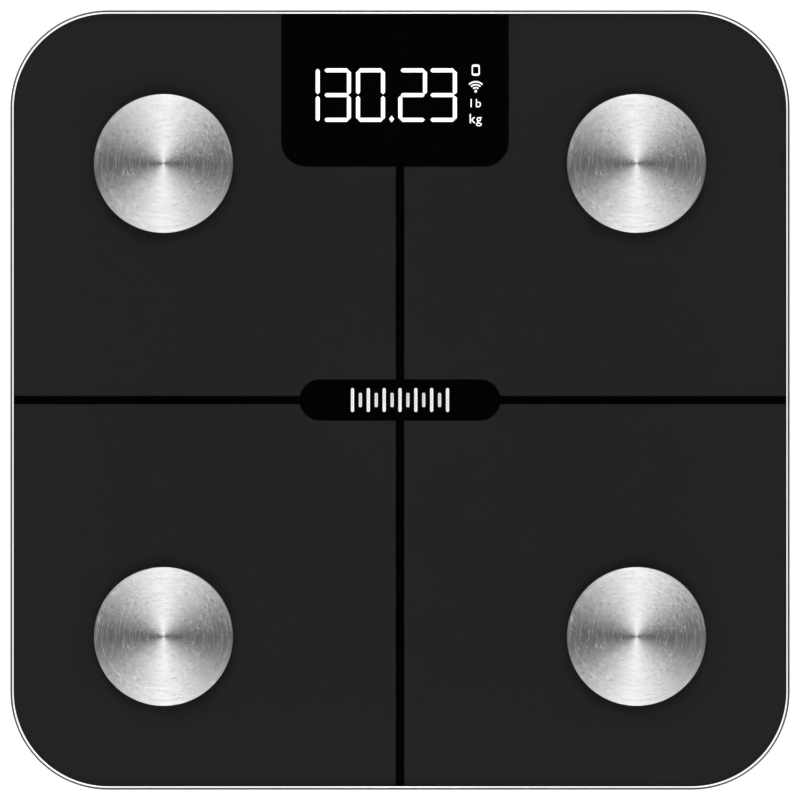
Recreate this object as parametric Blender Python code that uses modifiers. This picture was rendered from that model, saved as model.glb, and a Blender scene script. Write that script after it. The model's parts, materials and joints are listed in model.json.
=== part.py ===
"""Digital body-analysis bathroom scale.

A tempered-glass platform with four steel electrodes is taped to a moulded tray. The tray holds
four load cells on short-travel feet, the display board and the battery compartment.

Metres, +Z up. The origin is on the floor under the middle of the platform, +Y points to the display.
Run it with: blender --background --python part.py
"""

import math

import bmesh
import bpy
from mathutils import Matrix, Vector

MM = 0.001
GAP = 0.3 * MM  # between pieces that rest on each other or fit inside each other
REACH = 1.0 * MM  # how far a cutter runs past the wall that it cuts
ROOT = 0.6 * MM  # how far a rib, boss or hook is sunk into the wall that carries it

# Glass platform and what is laminated under it
GLASS_SIDE = 280.0 * MM
GLASS_THICK = 6.0 * MM
GLASS_CORNER = 35.2 * MM
GLASS_ARRIS = 0.5 * MM
PRINT_MARGIN = 1.2 * MM  # clear rim left round the printed film
FILM_THICK = 0.3 * MM
FOAM_THICK = 0.8 * MM
FOAM_WIDTH = 6.5 * MM
FOAM_SETBACK = 0.5 * MM

# Electrodes
ELECTRODE_RADIUS = 25.0 * MM
ELECTRODE_THICK = 0.6 * MM
ELECTRODE_ROUND = 0.25 * MM
ELECTRODE_OFFSET = 84.9 * MM  # from the platform's middle, along X and along Y
STUD_RADIUS = 2.0 * MM
STUD_HOLE_RADIUS = 3.0 * MM
STUD_TAIL = 0.6 * MM
NUT_ACROSS_FLATS = 7.0 * MM
NUT_THICK = 2.6 * MM

# Tray
FLANGE_INSET = 6.0 * MM  # glass edge to the tray's flange
FLANGE_WIDTH = 6.0 * MM
WALL = 1.8 * MM
FLOOR_CLEARANCE = 4.2 * MM
TRAY_ROUND = 3.0 * MM
RIB_THICK = 1.2 * MM
RIB_HEIGHT = 3.0 * MM
RIBS_ALONG_Y = (-74.0 * MM, -40.0 * MM, 40.0 * MM, 74.0 * MM)
RIBS_ALONG_X = (-90.0 * MM, -30.0 * MM)

# Load cells, their wells and the feet
CELL_SIDE = 34.0 * MM
CELL_CORNER = 2.0 * MM
CELL_THICK = 2.6 * MM
CELL_HEIGHT = 4.0 * MM  # tray floor to the cell's underside
TONGUE_HALF = 9.0 * MM
TONGUE_SLOT = 1.6 * MM
TONGUE_REACH = 10.0 * MM
GAUGE = (7.0 * MM, 5.0 * MM, 0.7 * MM)
GAUGE_Y = 5.0 * MM
WELL_FIT = 0.4 * MM
WELL_WALL = 1.6 * MM
WELL_TO_CORNER = 7.5 * MM  # well to the tray's side, so that its corner stays inside the tray's
POST_FIT = 0.7 * MM  # the foot's lip to the posts under the cell's corners
HOLDER_INSET = 0.4 * MM
HOLDER_WINDOW = 23.0 * MM
HOLDER_LEAST_CUT = 2.0 * MM
FOOT_TRAVEL = 0.5 * MM
FOOT_LIP = 1.3 * MM
FOOT_LIP_FIT = 0.6 * MM  # the lip's edge to the well
FOOT_LIP_THICK = 1.6 * MM
FOOT_HOLE_FIT = 0.5 * MM
FOOT_SKIRT = 1.0 * MM  # the cup's rim above the floor
FOOT_BOSS_RADIUS = 4.0 * MM
FOOT_RIM = 2.3 * MM  # the cup's side to the pad
PAD_THICK = 1.7 * MM
PAD_GROOVE = (8.0 * MM, 9.5 * MM, 0.4 * MM)  # inner radius, outer radius, depth

# Cells and battery compartment
BATTERY_RADIUS = 5.25 * MM
BATTERY_LENGTH = 44.5 * MM
BATTERY_COUNT = 4
BATTERY_SPACING = 1.3 * MM
BATTERY_ROUND = 0.6 * MM  # at the positive end's shoulder
NUB_RADIUS = 1.9 * MM
NUB_LENGTH = 0.8 * MM
PIP_LENGTH = 0.7 * MM
PIP_RADII = (1.6 * MM, 1.1 * MM)
SPRING_LENGTH = 4.7 * MM
SPRING_WIRE = 0.35 * MM
SPRING_TURNS = 2.5
SPRING_RADII = (3.9 * MM, 2.7 * MM)  # at the strip and at the cell
SPRING_RISE = 0.4 * MM  # above the cell's axis
SPRING_FLAT = 0.12  # share of the coil that lies flat on the strip
CONTACT_THICK = 0.4 * MM
CONTACT_HEIGHT = 7.6 * MM
CONTACT_DROP = 2.8 * MM  # below the cells' axes
CONTACT_INSET = 0.6 * MM
BAY_LANE = 5.0 * MM  # beside the outer cells, where the door's hooks turn
BAY_WALL = 1.5 * MM
BAY_CEILING = 1.0 * MM
BAY_Y = 25.0 * MM
DIVIDER_THICK = 0.6 * MM
DIVIDER_DROP = 4.0 * MM

# Battery door
DOOR_THICK = 1.6 * MM
DOOR_RECESS = 0.1 * MM
DOOR_HINGE_GAP = 0.6 * MM
DOOR_PIVOT_INSET = 1.0 * MM
DOOR_CORNER = 1.5 * MM
HOOK_WIDTH = 4.0 * MM
HOOK_THICK = 1.2 * MM
HOOK_REACH = 1.6 * MM
LATCH_WIDTH = 12.0 * MM
LATCH_THICK = 1.3 * MM
LATCH_SETBACK = 0.1 * MM
LATCH_HEIGHT = 2.0 * MM
NAIL_SLOT = (16.0 * MM, 5.0 * MM, 0.8 * MM)
GRIP_COUNT = 4
GRIP_GROOVE = (14.0 * MM, 0.8 * MM, 0.4 * MM)
GRIP_PITCH = 2.0 * MM
GRIP_SETBACK = 4.0 * MM

# Display board and what is on it
DISPLAY_X = -1.8 * MM
DISPLAY_INSET = 30.3 * MM  # glass edge to the middle of the digits
DIGIT_HEIGHT = 19.7 * MM
DIGIT_WIDTH = 10.6 * MM
SEGMENT_WIDTH = 1.8 * MM
SEGMENT_SPLIT = 0.25 * MM
DIGIT_LEFTS = (-28.2 * MM, -16.0 * MM, -0.8 * MM, 10.2 * MM)
ONE_X = -29.6 * MM
POINT_X = -3.0 * MM
POINT_RADIUS = 1.1 * MM
ICON_X = 27.1 * MM
ICON_SIDE = 3.6 * MM
ICON_RISES = (8.9 * MM, 3.0 * MM, -3.1 * MM, -8.9 * MM)
REFLECTOR_X = -0.9 * MM
REFLECTOR_WIDTH = 64.0 * MM
REFLECTOR_DEPTH = 26.0 * MM
REFLECTOR_FLOOR = 1.0 * MM
DIFFUSER_THICK = 0.6 * MM
BOARD_WIDTH = 80.0 * MM
BOARD_DEPTH = 62.0 * MM
BOARD_THICK = 1.6 * MM
BOARD_HEIGHT = 4.1 * MM  # tray floor to the board's underside
BOARD_SETBACK = 2.2 * MM
BOARD_CORNER = 2.0 * MM
BOSS_RADIUS = 3.0 * MM
BOSS_INSET = 5.0 * MM
SCREW_RADIUS = 1.1 * MM
SCREW_HEAD_RADIUS = 2.3 * MM
SCREW_HEAD_THICK = 1.3 * MM
SCREW_LENGTH = 3.4 * MM
SCREW_TO_FRONT = 30.0 * MM
CHIPS = {  # place along X, width, depth and height
    "controller_chip": (-14.0 * MM, 9.0 * MM, 9.0 * MM, 1.4 * MM),
    "amplifier_chip": (-28.0 * MM, 5.0 * MM, 6.4 * MM, 1.4 * MM),
    "radio_module": (12.0 * MM, 18.0 * MM, 12.5 * MM, 2.4 * MM),
}
CHIPS_TO_FRONT = 25.0 * MM  # the board's front edge to the middle of the chips
CHIP_EDGE = 0.2 * MM
CONNECTOR = (62.0 * MM, 5.5 * MM)
CONNECTOR_COVER = 0.7 * MM  # above the leads
CONNECTOR_SETBACK = 1.0 * MM
PINS = {
    "rear_cable": 27.0 * MM,
    "rear_lead": 21.0 * MM,
    "front_cable": 15.0 * MM,
    "front_lead": 9.0 * MM,
    "battery": 3.0 * MM,
}

# Unit key under the tray
KEY_X = 15.0 * MM
KEY_TO_FRONT = 18.0 * MM  # the board's front edge to the middle of the key
KEY_RADIUS = 4.0 * MM
KEY_LIP = 1.2 * MM
KEY_LIP_THICK = 0.8 * MM
KEY_RECESS = 0.3 * MM
KEY_TRAVEL = 0.5 * MM
SWITCH_SIDE = 6.0 * MM
PLUNGER_RADIUS = 1.75 * MM
PLUNGER_LENGTH = 0.6 * MM

# Wires
CABLE_RADIUS = 0.9 * MM
LEAD_RADIUS = 0.6 * MM
LEAD_DROP = 1.7 * MM  # below the loop round the stud
WIRE_HOLE_FIT = 0.4 * MM

# Blank rating label
LABEL = (60.0 * MM, 34.0 * MM)
LABEL_THICK = 0.2 * MM
LABEL_Y = -60.0 * MM
LABEL_CORNER = 2.0 * MM
LABEL_MARGIN = 1.0 * MM

STEPS = 20  # round the turned pieces

# Heights and half-widths that follow from the sizes above
GLASS_HALF = GLASS_SIDE / 2
FLANGE_HALF = GLASS_HALF - FLANGE_INSET
FLANGE_CORNER = GLASS_CORNER - FLANGE_INSET
TRAY_HALF = FLANGE_HALF - FLANGE_WIDTH
TRAY_CORNER = FLANGE_CORNER - FLANGE_WIDTH
TRAY_LOW = FLOOR_CLEARANCE
TRAY_FLOOR = TRAY_LOW + WALL
BATTERY_Z = TRAY_FLOOR + 1.5 * GAP + BATTERY_RADIUS
BAY_ROOF = BATTERY_Z + BATTERY_RADIUS + GAP / 2
TRAY_HIGH = BAY_ROOF + BAY_CEILING
FOAM_LOW = TRAY_HIGH + GAP
FILM_LOW = FOAM_LOW + FOAM_THICK + GAP
GLASS_LOW = FILM_LOW + FILM_THICK + GAP
GLASS_HIGH = GLASS_LOW + GLASS_THICK
ELECTRODE_LOW = GLASS_HIGH + GAP
ELECTRODE_HIGH = ELECTRODE_LOW + ELECTRODE_THICK

LOOP_Z = FILM_LOW - GAP - LEAD_RADIUS
LEAD_Z = LOOP_Z - LEAD_DROP
NUT_HIGH = LOOP_Z - LEAD_RADIUS - GAP
NUT_LOW = NUT_HIGH - NUT_THICK
NUT_CORNER = NUT_ACROSS_FLATS / math.sqrt(3)

CELL_HALF = CELL_SIDE / 2
CELL_LOW = TRAY_FLOOR + CELL_HEIGHT
CELL_HIGH = CELL_LOW + CELL_THICK
WELL_INNER = CELL_HALF + WELL_FIT
WELL_OUTER = WELL_INNER + WELL_WALL
WELL_HIGH = CELL_HIGH - GAP
FOOT_RADIUS = WELL_INNER - FOOT_LIP_FIT - FOOT_LIP
PAD_RADIUS = FOOT_RADIUS - FOOT_RIM
FOOT_OFFSET = TRAY_HALF - WELL_OUTER - WELL_TO_CORNER
CABLE_Z = CELL_HIGH + GAUGE[2] + CABLE_RADIUS
HOLDER_LOW = CELL_HIGH + GAP
HOLDER_HIGH = FILM_LOW - GAP
HOLDER_HALF = WELL_OUTER - HOLDER_INSET
HOLDER_FLAT = (FOOT_OFFSET - ELECTRODE_OFFSET) * math.sqrt(2) - NUT_CORNER - 2 * GAP

BATTERY_PITCH = 2 * BATTERY_RADIUS + BATTERY_SPACING
BATTERY_XS = [(i - (BATTERY_COUNT - 1) / 2) * BATTERY_PITCH for i in range(BATTERY_COUNT)]
CONTACT_FACE = (BATTERY_LENGTH + PIP_LENGTH + SPRING_LENGTH + 2 * GAP) / 2
BAY_HALF_Y = CONTACT_FACE + CONTACT_THICK + GAP
BAY_HALF_X = BATTERY_COUNT * BATTERY_PITCH / 2 + BAY_LANE - BATTERY_SPACING / 2
CONTACT_LOW = BATTERY_Z - CONTACT_DROP

DOOR_LOW = TRAY_LOW + DOOR_RECESS
DOOR_HIGH = DOOR_LOW + DOOR_THICK
DOOR_FRONT = BAY_Y - BAY_HALF_Y + DOOR_HINGE_GAP
DOOR_REAR = BAY_Y + BAY_HALF_Y - GAP
DOOR_HALF_X = BAY_HALF_X - GAP
DOOR_PIVOT = Vector((0, DOOR_FRONT + DOOR_PIVOT_INSET, (DOOR_LOW + DOOR_HIGH) / 2))
HOOK_X = DOOR_HALF_X - HOOK_WIDTH / 2 - GAP
HOOK_LOW = TRAY_FLOOR + GAP
HOOK_HIGH = HOOK_LOW + HOOK_THICK

BOARD_LOW = TRAY_FLOOR + BOARD_HEIGHT
BOARD_HIGH = BOARD_LOW + BOARD_THICK
BOARD_REAR = TRAY_HALF - WALL - BOARD_SETBACK
BOARD_FRONT = BOARD_REAR - BOARD_DEPTH
ON_BOARD = BOARD_HIGH + GAP
CHIP_Y = BOARD_FRONT + CHIPS_TO_FRONT
KEY_Y = BOARD_FRONT + KEY_TO_FRONT
PINS_Y = BOARD_FRONT + CONNECTOR_SETBACK - GAP  # where the wires end
SCREW_Y = BOARD_FRONT + SCREW_TO_FRONT
DISPLAY_Y = GLASS_HALF - DISPLAY_INSET
DIFFUSER_HIGH = FILM_LOW - GAP
DIFFUSER_LOW = DIFFUSER_HIGH - DIFFUSER_THICK
REFLECTOR_HIGH = DIFFUSER_LOW - GAP
SWITCH_HIGH = BOARD_LOW - GAP
KEY_LIP_LOW = TRAY_FLOOR + GAP
KEY_HIGH = KEY_LIP_LOW + KEY_LIP_THICK
PLUNGER_LOW = KEY_HIGH + KEY_TRAVEL + 0.1 * MM

CORNERS = {
    "front_left": (-1, -1),
    "front_right": (1, -1),
    "rear_left": (-1, 1),
    "rear_right": (1, 1),
}


# ---- helpers -------------------------------------------------------------------------------------


def clear_scene():
    for obj in list(bpy.data.objects):
        bpy.data.objects.remove(obj)


def new_collection(name, hidden=False):
    collection = bpy.data.collections.new(name)
    bpy.context.scene.collection.children.link(collection)
    collection.hide_render = hidden
    return collection


def new_material(name, colour, roughness, metallic=0.0, transmission=0.0):
    material = bpy.data.materials.new(name)
    material.use_nodes = True
    shader = material.node_tree.nodes["Principled BSDF"]
    shader.inputs["Base Color"].default_value = (*colour, 1.0)
    shader.inputs["Roughness"].default_value = roughness
    shader.inputs["Metallic"].default_value = metallic
    shader.inputs["Transmission Weight"].default_value = transmission
    material.diffuse_color = (*colour, 1.0)
    return material


def add_part(obj, material):
    """Puts a finished piece in the scale's collection with its material."""
    for collection in list(obj.users_collection):
        collection.objects.unlink(obj)
    parts.objects.link(obj)
    obj.data.materials.clear()
    obj.data.materials.append(material)
    return obj


def add_helper(obj, collection):
    """Puts a cutter, or a shape that gets joined to a piece, where it isn't rendered."""
    for old in list(obj.users_collection):
        old.objects.unlink(obj)
    collection.objects.link(obj)
    obj.hide_render = True
    obj.display_type = "WIRE"
    return obj


def mesh_object(name, bm):
    mesh = bpy.data.meshes.new(name)
    bm.to_mesh(mesh)
    bm.free()
    obj = bpy.data.objects.new(name, mesh)
    bpy.context.scene.collection.objects.link(obj)
    return obj


def box(name, low, high):
    """A block between two opposite corners."""
    low, high = Vector(low), Vector(high)
    bm = bmesh.new()
    bmesh.ops.create_cube(bm, size=1.0)
    bmesh.ops.scale(bm, vec=high - low, verts=bm.verts)
    bmesh.ops.translate(bm, vec=(low + high) / 2, verts=bm.verts)
    return mesh_object(name, bm)


def cylinder(name, radius, low, high, x=0.0, y=0.0, steps=STEPS):
    bm = bmesh.new()
    bmesh.ops.create_cone(
        bm, cap_ends=True, segments=steps, radius1=radius, radius2=radius, depth=high - low
    )
    bmesh.ops.translate(bm, vec=(x, y, (low + high) / 2), verts=bm.verts)
    return mesh_object(name, bm)


def rounded_rectangle(half_x, half_y, radius, x=0.0, y=0.0, steps=6):
    """Points round a rectangle with arcs at its corners, anticlockwise."""
    points = []
    for quarter, (sx, sy) in enumerate(((1, 1), (-1, 1), (-1, -1), (1, -1))):
        for step in range(steps + 1):
            angle = math.radians(90 * (quarter + step / steps))
            points.append(
                (
                    x + sx * (half_x - radius) + radius * math.cos(angle),
                    y + sy * (half_y - radius) + radius * math.sin(angle),
                )
            )
    return points


def circle(radius, x=0.0, y=0.0, steps=STEPS):
    angles = [2 * math.pi * i / steps for i in range(steps)]
    return [(x + radius * math.cos(a), y + radius * math.sin(a)) for a in angles]


def curve_to_mesh(guide, name):
    """The curve's evaluated shape as a welded mesh object in the curve's place."""
    bpy.context.view_layer.update()
    graph = bpy.context.evaluated_depsgraph_get()
    mesh = bpy.data.meshes.new_from_object(guide.evaluated_get(graph))
    bm = bmesh.new()
    bm.from_mesh(mesh)
    bmesh.ops.remove_doubles(bm, verts=bm.verts, dist=1e-6)
    bmesh.ops.recalc_face_normals(bm, faces=bm.faces)
    bm.to_mesh(mesh)
    bm.free()
    matrix = guide.matrix_world.copy()
    bpy.data.objects.remove(guide)
    obj = bpy.data.objects.new(name, mesh)
    bpy.context.scene.collection.objects.link(obj)
    obj.matrix_world = matrix
    return obj


def plate(name, outlines, low, high):
    """A flat piece between two heights. The first outline is its edge, and the others are holes."""
    curve = bpy.data.curves.new(name + "_outline", "CURVE")
    curve.dimensions = "2D"
    curve.fill_mode = "BOTH"
    curve.extrude = (high - low) / 2
    for outline in outlines:
        spline = curve.splines.new("POLY")
        spline.points.add(len(outline) - 1)
        for point, (x, y) in zip(spline.points, outline):
            point.co = (x, y, 0.0, 1.0)
        spline.use_cyclic_u = True
    guide = bpy.data.objects.new(name + "_outline", curve)
    bpy.context.scene.collection.objects.link(guide)
    guide.location.z = (low + high) / 2
    return curve_to_mesh(guide, name)


def turned(name, profile, steps=STEPS):
    """A solid of revolution about Z. The profile runs down the outer side from the axis to the axis."""
    bm = bmesh.new()
    points = [bm.verts.new((radius, 0.0, z)) for radius, z in profile]
    for first, second in zip(points, points[1:]):
        bm.edges.new((first, second))
    obj = mesh_object(name, bm)
    screw = obj.modifiers.new("Turn", "SCREW")
    screw.steps = screw.render_steps = steps
    screw.use_merge_vertices = True
    screw.merge_threshold = 1e-6
    return obj


def tube(name, points, radius):
    """A wire along a list of points."""
    curve = bpy.data.curves.new(name, "CURVE")
    curve.dimensions = "3D"
    curve.bevel_depth = radius
    curve.bevel_resolution = 2
    curve.use_fill_caps = True
    spline = curve.splines.new("POLY")
    spline.points.add(len(points) - 1)
    for point, place in zip(spline.points, points):
        point.co = (*place, 1.0)
    obj = bpy.data.objects.new(name, curve)
    bpy.context.scene.collection.objects.link(obj)
    return obj


def smooth_route(points, steps=2):
    """Points on a smooth curve through a wire's route."""
    points = [Vector(p) for p in points]
    padded = [2 * points[0] - points[1], *points, 2 * points[-1] - points[-2]]
    found = []
    for before, start, end, after in zip(padded, padded[1:], padded[2:], padded[3:]):
        for step in range(steps):
            t = step / steps
            found.append(
                0.5
                * (
                    2 * start
                    + (end - before) * t
                    + (2 * before - 5 * start + 4 * end - after) * t**2
                    + (3 * start - before - 3 * end + after) * t**3
                )
            )
    return [*found, points[-1]]


def boolean(obj, other, operation):
    """Adds a Boolean with an object or with every object of a collection."""
    modifier = obj.modifiers.new(operation.title(), "BOOLEAN")
    modifier.operation = operation
    modifier.solver = "EXACT"
    if isinstance(other, bpy.types.Collection):
        modifier.operand_type = "COLLECTION"
        modifier.collection = other
    else:
        modifier.object = other
    return modifier


def bevel(obj, width, segments=2):
    modifier = obj.modifiers.new("Edges", "BEVEL")
    modifier.width = width
    modifier.segments = segments
    modifier.limit_method = "ANGLE"
    modifier.angle_limit = math.radians(40)
    return modifier


# ---- glass, film and foam ------------------------------------------------------------------------


def stud_holes():
    places = [(sx * ELECTRODE_OFFSET, sy * ELECTRODE_OFFSET) for sx, sy in CORNERS.values()]
    return [circle(STUD_HOLE_RADIUS, x, y, steps=10) for x, y in places]


def make_platform():
    edge = rounded_rectangle(GLASS_HALF, GLASS_HALF, GLASS_CORNER, steps=8)
    glass = plate("glass_platform", [edge, *stud_holes()], GLASS_LOW, GLASS_HIGH)
    bevel(glass, GLASS_ARRIS)
    add_part(glass, tempered_glass)

    half = GLASS_HALF - PRINT_MARGIN
    edge = rounded_rectangle(half, half, GLASS_CORNER - PRINT_MARGIN, steps=8)
    film = plate("printed_film", [edge, *stud_holes()], FILM_LOW, FILM_LOW + FILM_THICK)
    add_part(film, black_print)

    outer = FLANGE_HALF - FOAM_SETBACK
    inner = outer - FOAM_WIDTH
    rings = [
        rounded_rectangle(outer, outer, FLANGE_CORNER - FOAM_SETBACK),
        rounded_rectangle(inner, inner, FLANGE_CORNER - FOAM_SETBACK - FOAM_WIDTH),
    ]
    foam = plate("foam_tape", rings, FOAM_LOW, FOAM_LOW + FOAM_THICK)
    add_part(foam, grey_foam)


def make_electrode(corner, sx, sy):
    """The steel disc with its welded stud, the nut, and the lead whose end loops round the stud."""
    x, y = sx * ELECTRODE_OFFSET, sy * ELECTRODE_OFFSET
    disc = turned(
        f"electrode_{corner}",
        [
            (0, ELECTRODE_HIGH),
            (ELECTRODE_RADIUS - ELECTRODE_ROUND, ELECTRODE_HIGH),
            (ELECTRODE_RADIUS, ELECTRODE_HIGH - ELECTRODE_ROUND),
            (ELECTRODE_RADIUS, ELECTRODE_LOW),
            (STUD_RADIUS, ELECTRODE_LOW),
            (STUD_RADIUS, NUT_LOW - STUD_TAIL),
            (0, NUT_LOW - STUD_TAIL),
        ],
        steps=28,
    )
    disc.location = (x, y, 0)
    add_part(disc, brushed_steel)

    hexagon = circle(NUT_CORNER, steps=6)
    bore = circle(STUD_RADIUS + GAP, steps=12)
    nut = plate(f"electrode_nut_{corner}", [hexagon, bore], NUT_LOW, NUT_HIGH)
    nut.location.x, nut.location.y = x, y
    add_part(nut, zinc_steel)

    loop_radius = STUD_RADIUS + GAP + LEAD_RADIUS
    start = math.radians(50)
    turn = math.radians(250)
    loop = []
    for step in range(11):
        angle = start + turn * step / 10
        loop.append((x + sx * loop_radius * math.cos(angle), y - loop_radius * math.sin(angle), LOOP_Z))
    points = loop + smooth_route(electrode_lead_route(sx, sy))
    lead = tube(f"electrode_lead_{corner}", points, LEAD_RADIUS)
    add_part(lead, white_wire)


def into_pin(x, z):
    """The last points of a wire, which meets the connector head on."""
    return [(x, PINS_Y - 2.5 * MM, z), (x, PINS_Y - 1.0 * MM, z), (x, PINS_Y, z)]


def electrode_lead_route(sx, sy):
    """From the stud to the connector, in front of the board or up beside the battery bay."""
    x, y = ELECTRODE_OFFSET, sy * ELECTRODE_OFFSET
    end = PINS_Y
    if sy > 0:
        pin = PINS["rear_lead"]
        route = [
            (x - 5.5 * MM, y + 6.0 * MM, LOOP_Z),
            (x - 13 * MM, y + 3 * MM, LEAD_Z + 0.8 * MM),
            (58 * MM, end + 19 * MM, LEAD_Z),
            (48 * MM, end + 6 * MM, LEAD_Z),
            (38 * MM, end - 4.5 * MM, LEAD_Z),
            (pin + 4 * MM, end - 6 * MM, LEAD_Z),
        ]
    else:
        pin = PINS["front_lead"]
        route = [
            (x - 5.5 * MM, y + 6.0 * MM, LOOP_Z),
            (x - 16 * MM, y + 12 * MM, LEAD_Z + 0.5 * MM),
            (56 * MM, -45 * MM, LEAD_Z),
            (54 * MM, 0.0, LEAD_Z),
            (53 * MM, end - 24 * MM, LEAD_Z),
            (43 * MM, end - 9.5 * MM, LEAD_Z),
            (pin + 6 * MM, end - 7 * MM, LEAD_Z),
        ]
    return [(sx * px, py, pz) for px, py, pz in route + into_pin(pin, LEAD_Z)]


# ---- load cells and feet -------------------------------------------------------------------------


def tongue_slot():
    """The U-shaped slot that frees the cell's tongue."""
    inner, outer = TONGUE_HALF, TONGUE_HALF + TONGUE_SLOT
    reach, end = -TONGUE_REACH, -TONGUE_REACH - TONGUE_SLOT
    top = TONGUE_REACH
    return [
        (-outer, top),
        (-outer, end),
        (outer, end),
        (outer, top),
        (inner, top),
        (inner, reach),
        (-inner, reach),
        (-inner, top),
    ]


def octagon(half, flat):
    """A square of this half-width whose corners are cut at this distance from the middle."""
    cut = max(2 * half - flat * math.sqrt(2), HOLDER_LEAST_CUT)
    short = half - cut
    return [
        (half, short), (short, half), (-short, half), (-half, short),
        (-half, -short), (-short, -half), (short, -half), (half, -short),
    ]  # fmt: skip


def make_load_cell(corner, sx, sy):
    """The stamped cell with its gauge pad, the holder between its frame and the glass, and its cable."""
    x, y = sx * FOOT_OFFSET, sy * FOOT_OFFSET
    edge = rounded_rectangle(CELL_HALF, CELL_HALF, CELL_CORNER, steps=2)
    cell = plate(f"load_cell_{corner}", [edge, tongue_slot()], CELL_LOW, CELL_HIGH)
    cell.location.x, cell.location.y = x, y
    wide, deep, tall = GAUGE
    pad = box(
        f"gauge_pad_{corner}",
        (x - wide / 2, y + GAUGE_Y - deep / 2, CELL_HIGH - ROOT),
        (x + wide / 2, y + GAUGE_Y + deep / 2, CELL_HIGH + tall),
    )
    add_helper(pad, helpers)
    boolean(cell, pad, "UNION")
    add_part(cell, plated_steel)

    window = HOLDER_WINDOW / 2
    square = [(window, window), (-window, window), (-window, -window), (window, -window)]
    outlines = [octagon(HOLDER_HALF, HOLDER_FLAT), square]
    holder = plate(f"load_cell_holder_{corner}", outlines, HOLDER_LOW, HOLDER_HIGH)
    holder.location.x, holder.location.y = x, y
    cable_y = y + GAUGE_Y
    notch_half = CABLE_RADIUS + WIRE_HOLE_FIT
    inward = x - sx * window / 2
    outward = x - sx * (HOLDER_HALF + REACH)
    notch = box(
        f"cable_notch_{corner}",
        (min(inward, outward), cable_y - notch_half, HOLDER_LOW - REACH),
        (max(inward, outward), cable_y + notch_half, CABLE_Z + notch_half),
    )
    add_helper(notch, helpers)
    boolean(holder, notch, "DIFFERENCE")
    add_part(holder, black_abs)

    cable = tube(f"load_cell_cable_{corner}", smooth_route(cable_route(sx, sy)), CABLE_RADIUS)
    add_part(cable, grey_cable)


def cable_route(sx, sy):
    """From the gauge pad through the holder's notch to the connector."""
    x, y = FOOT_OFFSET, sy * FOOT_OFFSET + GAUGE_Y
    end = PINS_Y
    start = [
        (x - GAUGE[0] / 2 - GAP, y, CABLE_Z),
        (x - HOLDER_HALF, y, CABLE_Z),
        (x - HOLDER_HALF - 8 * MM, y, CABLE_Z),
    ]
    if sy > 0:
        pin = PINS["rear_cable"]
        run = [
            (x - HOLDER_HALF - 25.9 * MM, y - 8 * MM, CABLE_Z),
            (50 * MM, end + 20 * MM, CABLE_Z),
            (46 * MM, end + 5 * MM, CABLE_Z),
            (38 * MM, end - 4.5 * MM, CABLE_Z),
            (pin + 3 * MM, end - 5 * MM, CABLE_Z),
        ]
    else:
        pin = PINS["front_cable"]
        run = [
            (x - HOLDER_HALF - 20.9 * MM, y + 12 * MM, CABLE_Z),
            (55 * MM, -45 * MM, CABLE_Z),
            (54 * MM, 0.0, CABLE_Z),
            (53 * MM, end - 24 * MM, CABLE_Z),
            (43 * MM, end - 9.5 * MM, CABLE_Z),
            (pin + 6 * MM, end - 7 * MM, CABLE_Z),
        ]
    return [(sx * px, py, pz) for px, py, pz in start + run + into_pin(pin, CABLE_Z)]


def make_foot(corner, sx, sy):
    """The foot's cup, whose boss meets the load cell's tongue, and its rubber pad."""
    place = (sx * FOOT_OFFSET, sy * FOOT_OFFSET, 0)
    lip_low = TRAY_FLOOR + GAP
    boss_high = CELL_LOW - FOOT_TRAVEL - 0.1 * MM
    edge = 0.4 * MM
    cup = turned(
        f"foot_cup_{corner}",
        [
            (0, boss_high),
            (FOOT_BOSS_RADIUS, boss_high),
            (FOOT_BOSS_RADIUS, lip_low + FOOT_LIP_THICK),
            (FOOT_RADIUS + FOOT_LIP, lip_low + FOOT_LIP_THICK),
            (FOOT_RADIUS + FOOT_LIP, lip_low),
            (FOOT_RADIUS, lip_low),
            (FOOT_RADIUS, FOOT_SKIRT + edge),
            (FOOT_RADIUS - edge, FOOT_SKIRT),
            (PAD_RADIUS + GAP, FOOT_SKIRT),
            (PAD_RADIUS + GAP, PAD_THICK + GAP),
            (0, PAD_THICK + GAP),
        ],
    )
    cup.location = place
    add_part(cup, black_abs)

    groove_in, groove_out, groove_deep = PAD_GROOVE
    pad = turned(
        f"foot_pad_{corner}",
        [
            (0, PAD_THICK),
            (PAD_RADIUS, PAD_THICK),
            (PAD_RADIUS, edge),
            (PAD_RADIUS - edge, 0),
            (groove_out, 0),
            (groove_out - groove_deep, groove_deep),
            (groove_in + groove_deep, groove_deep),
            (groove_in, 0),
            (0, 0),
        ],
    )
    pad.location = place
    add_part(pad, grey_rubber)


# ---- tray ----------------------------------------------------------------------------------------


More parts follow.
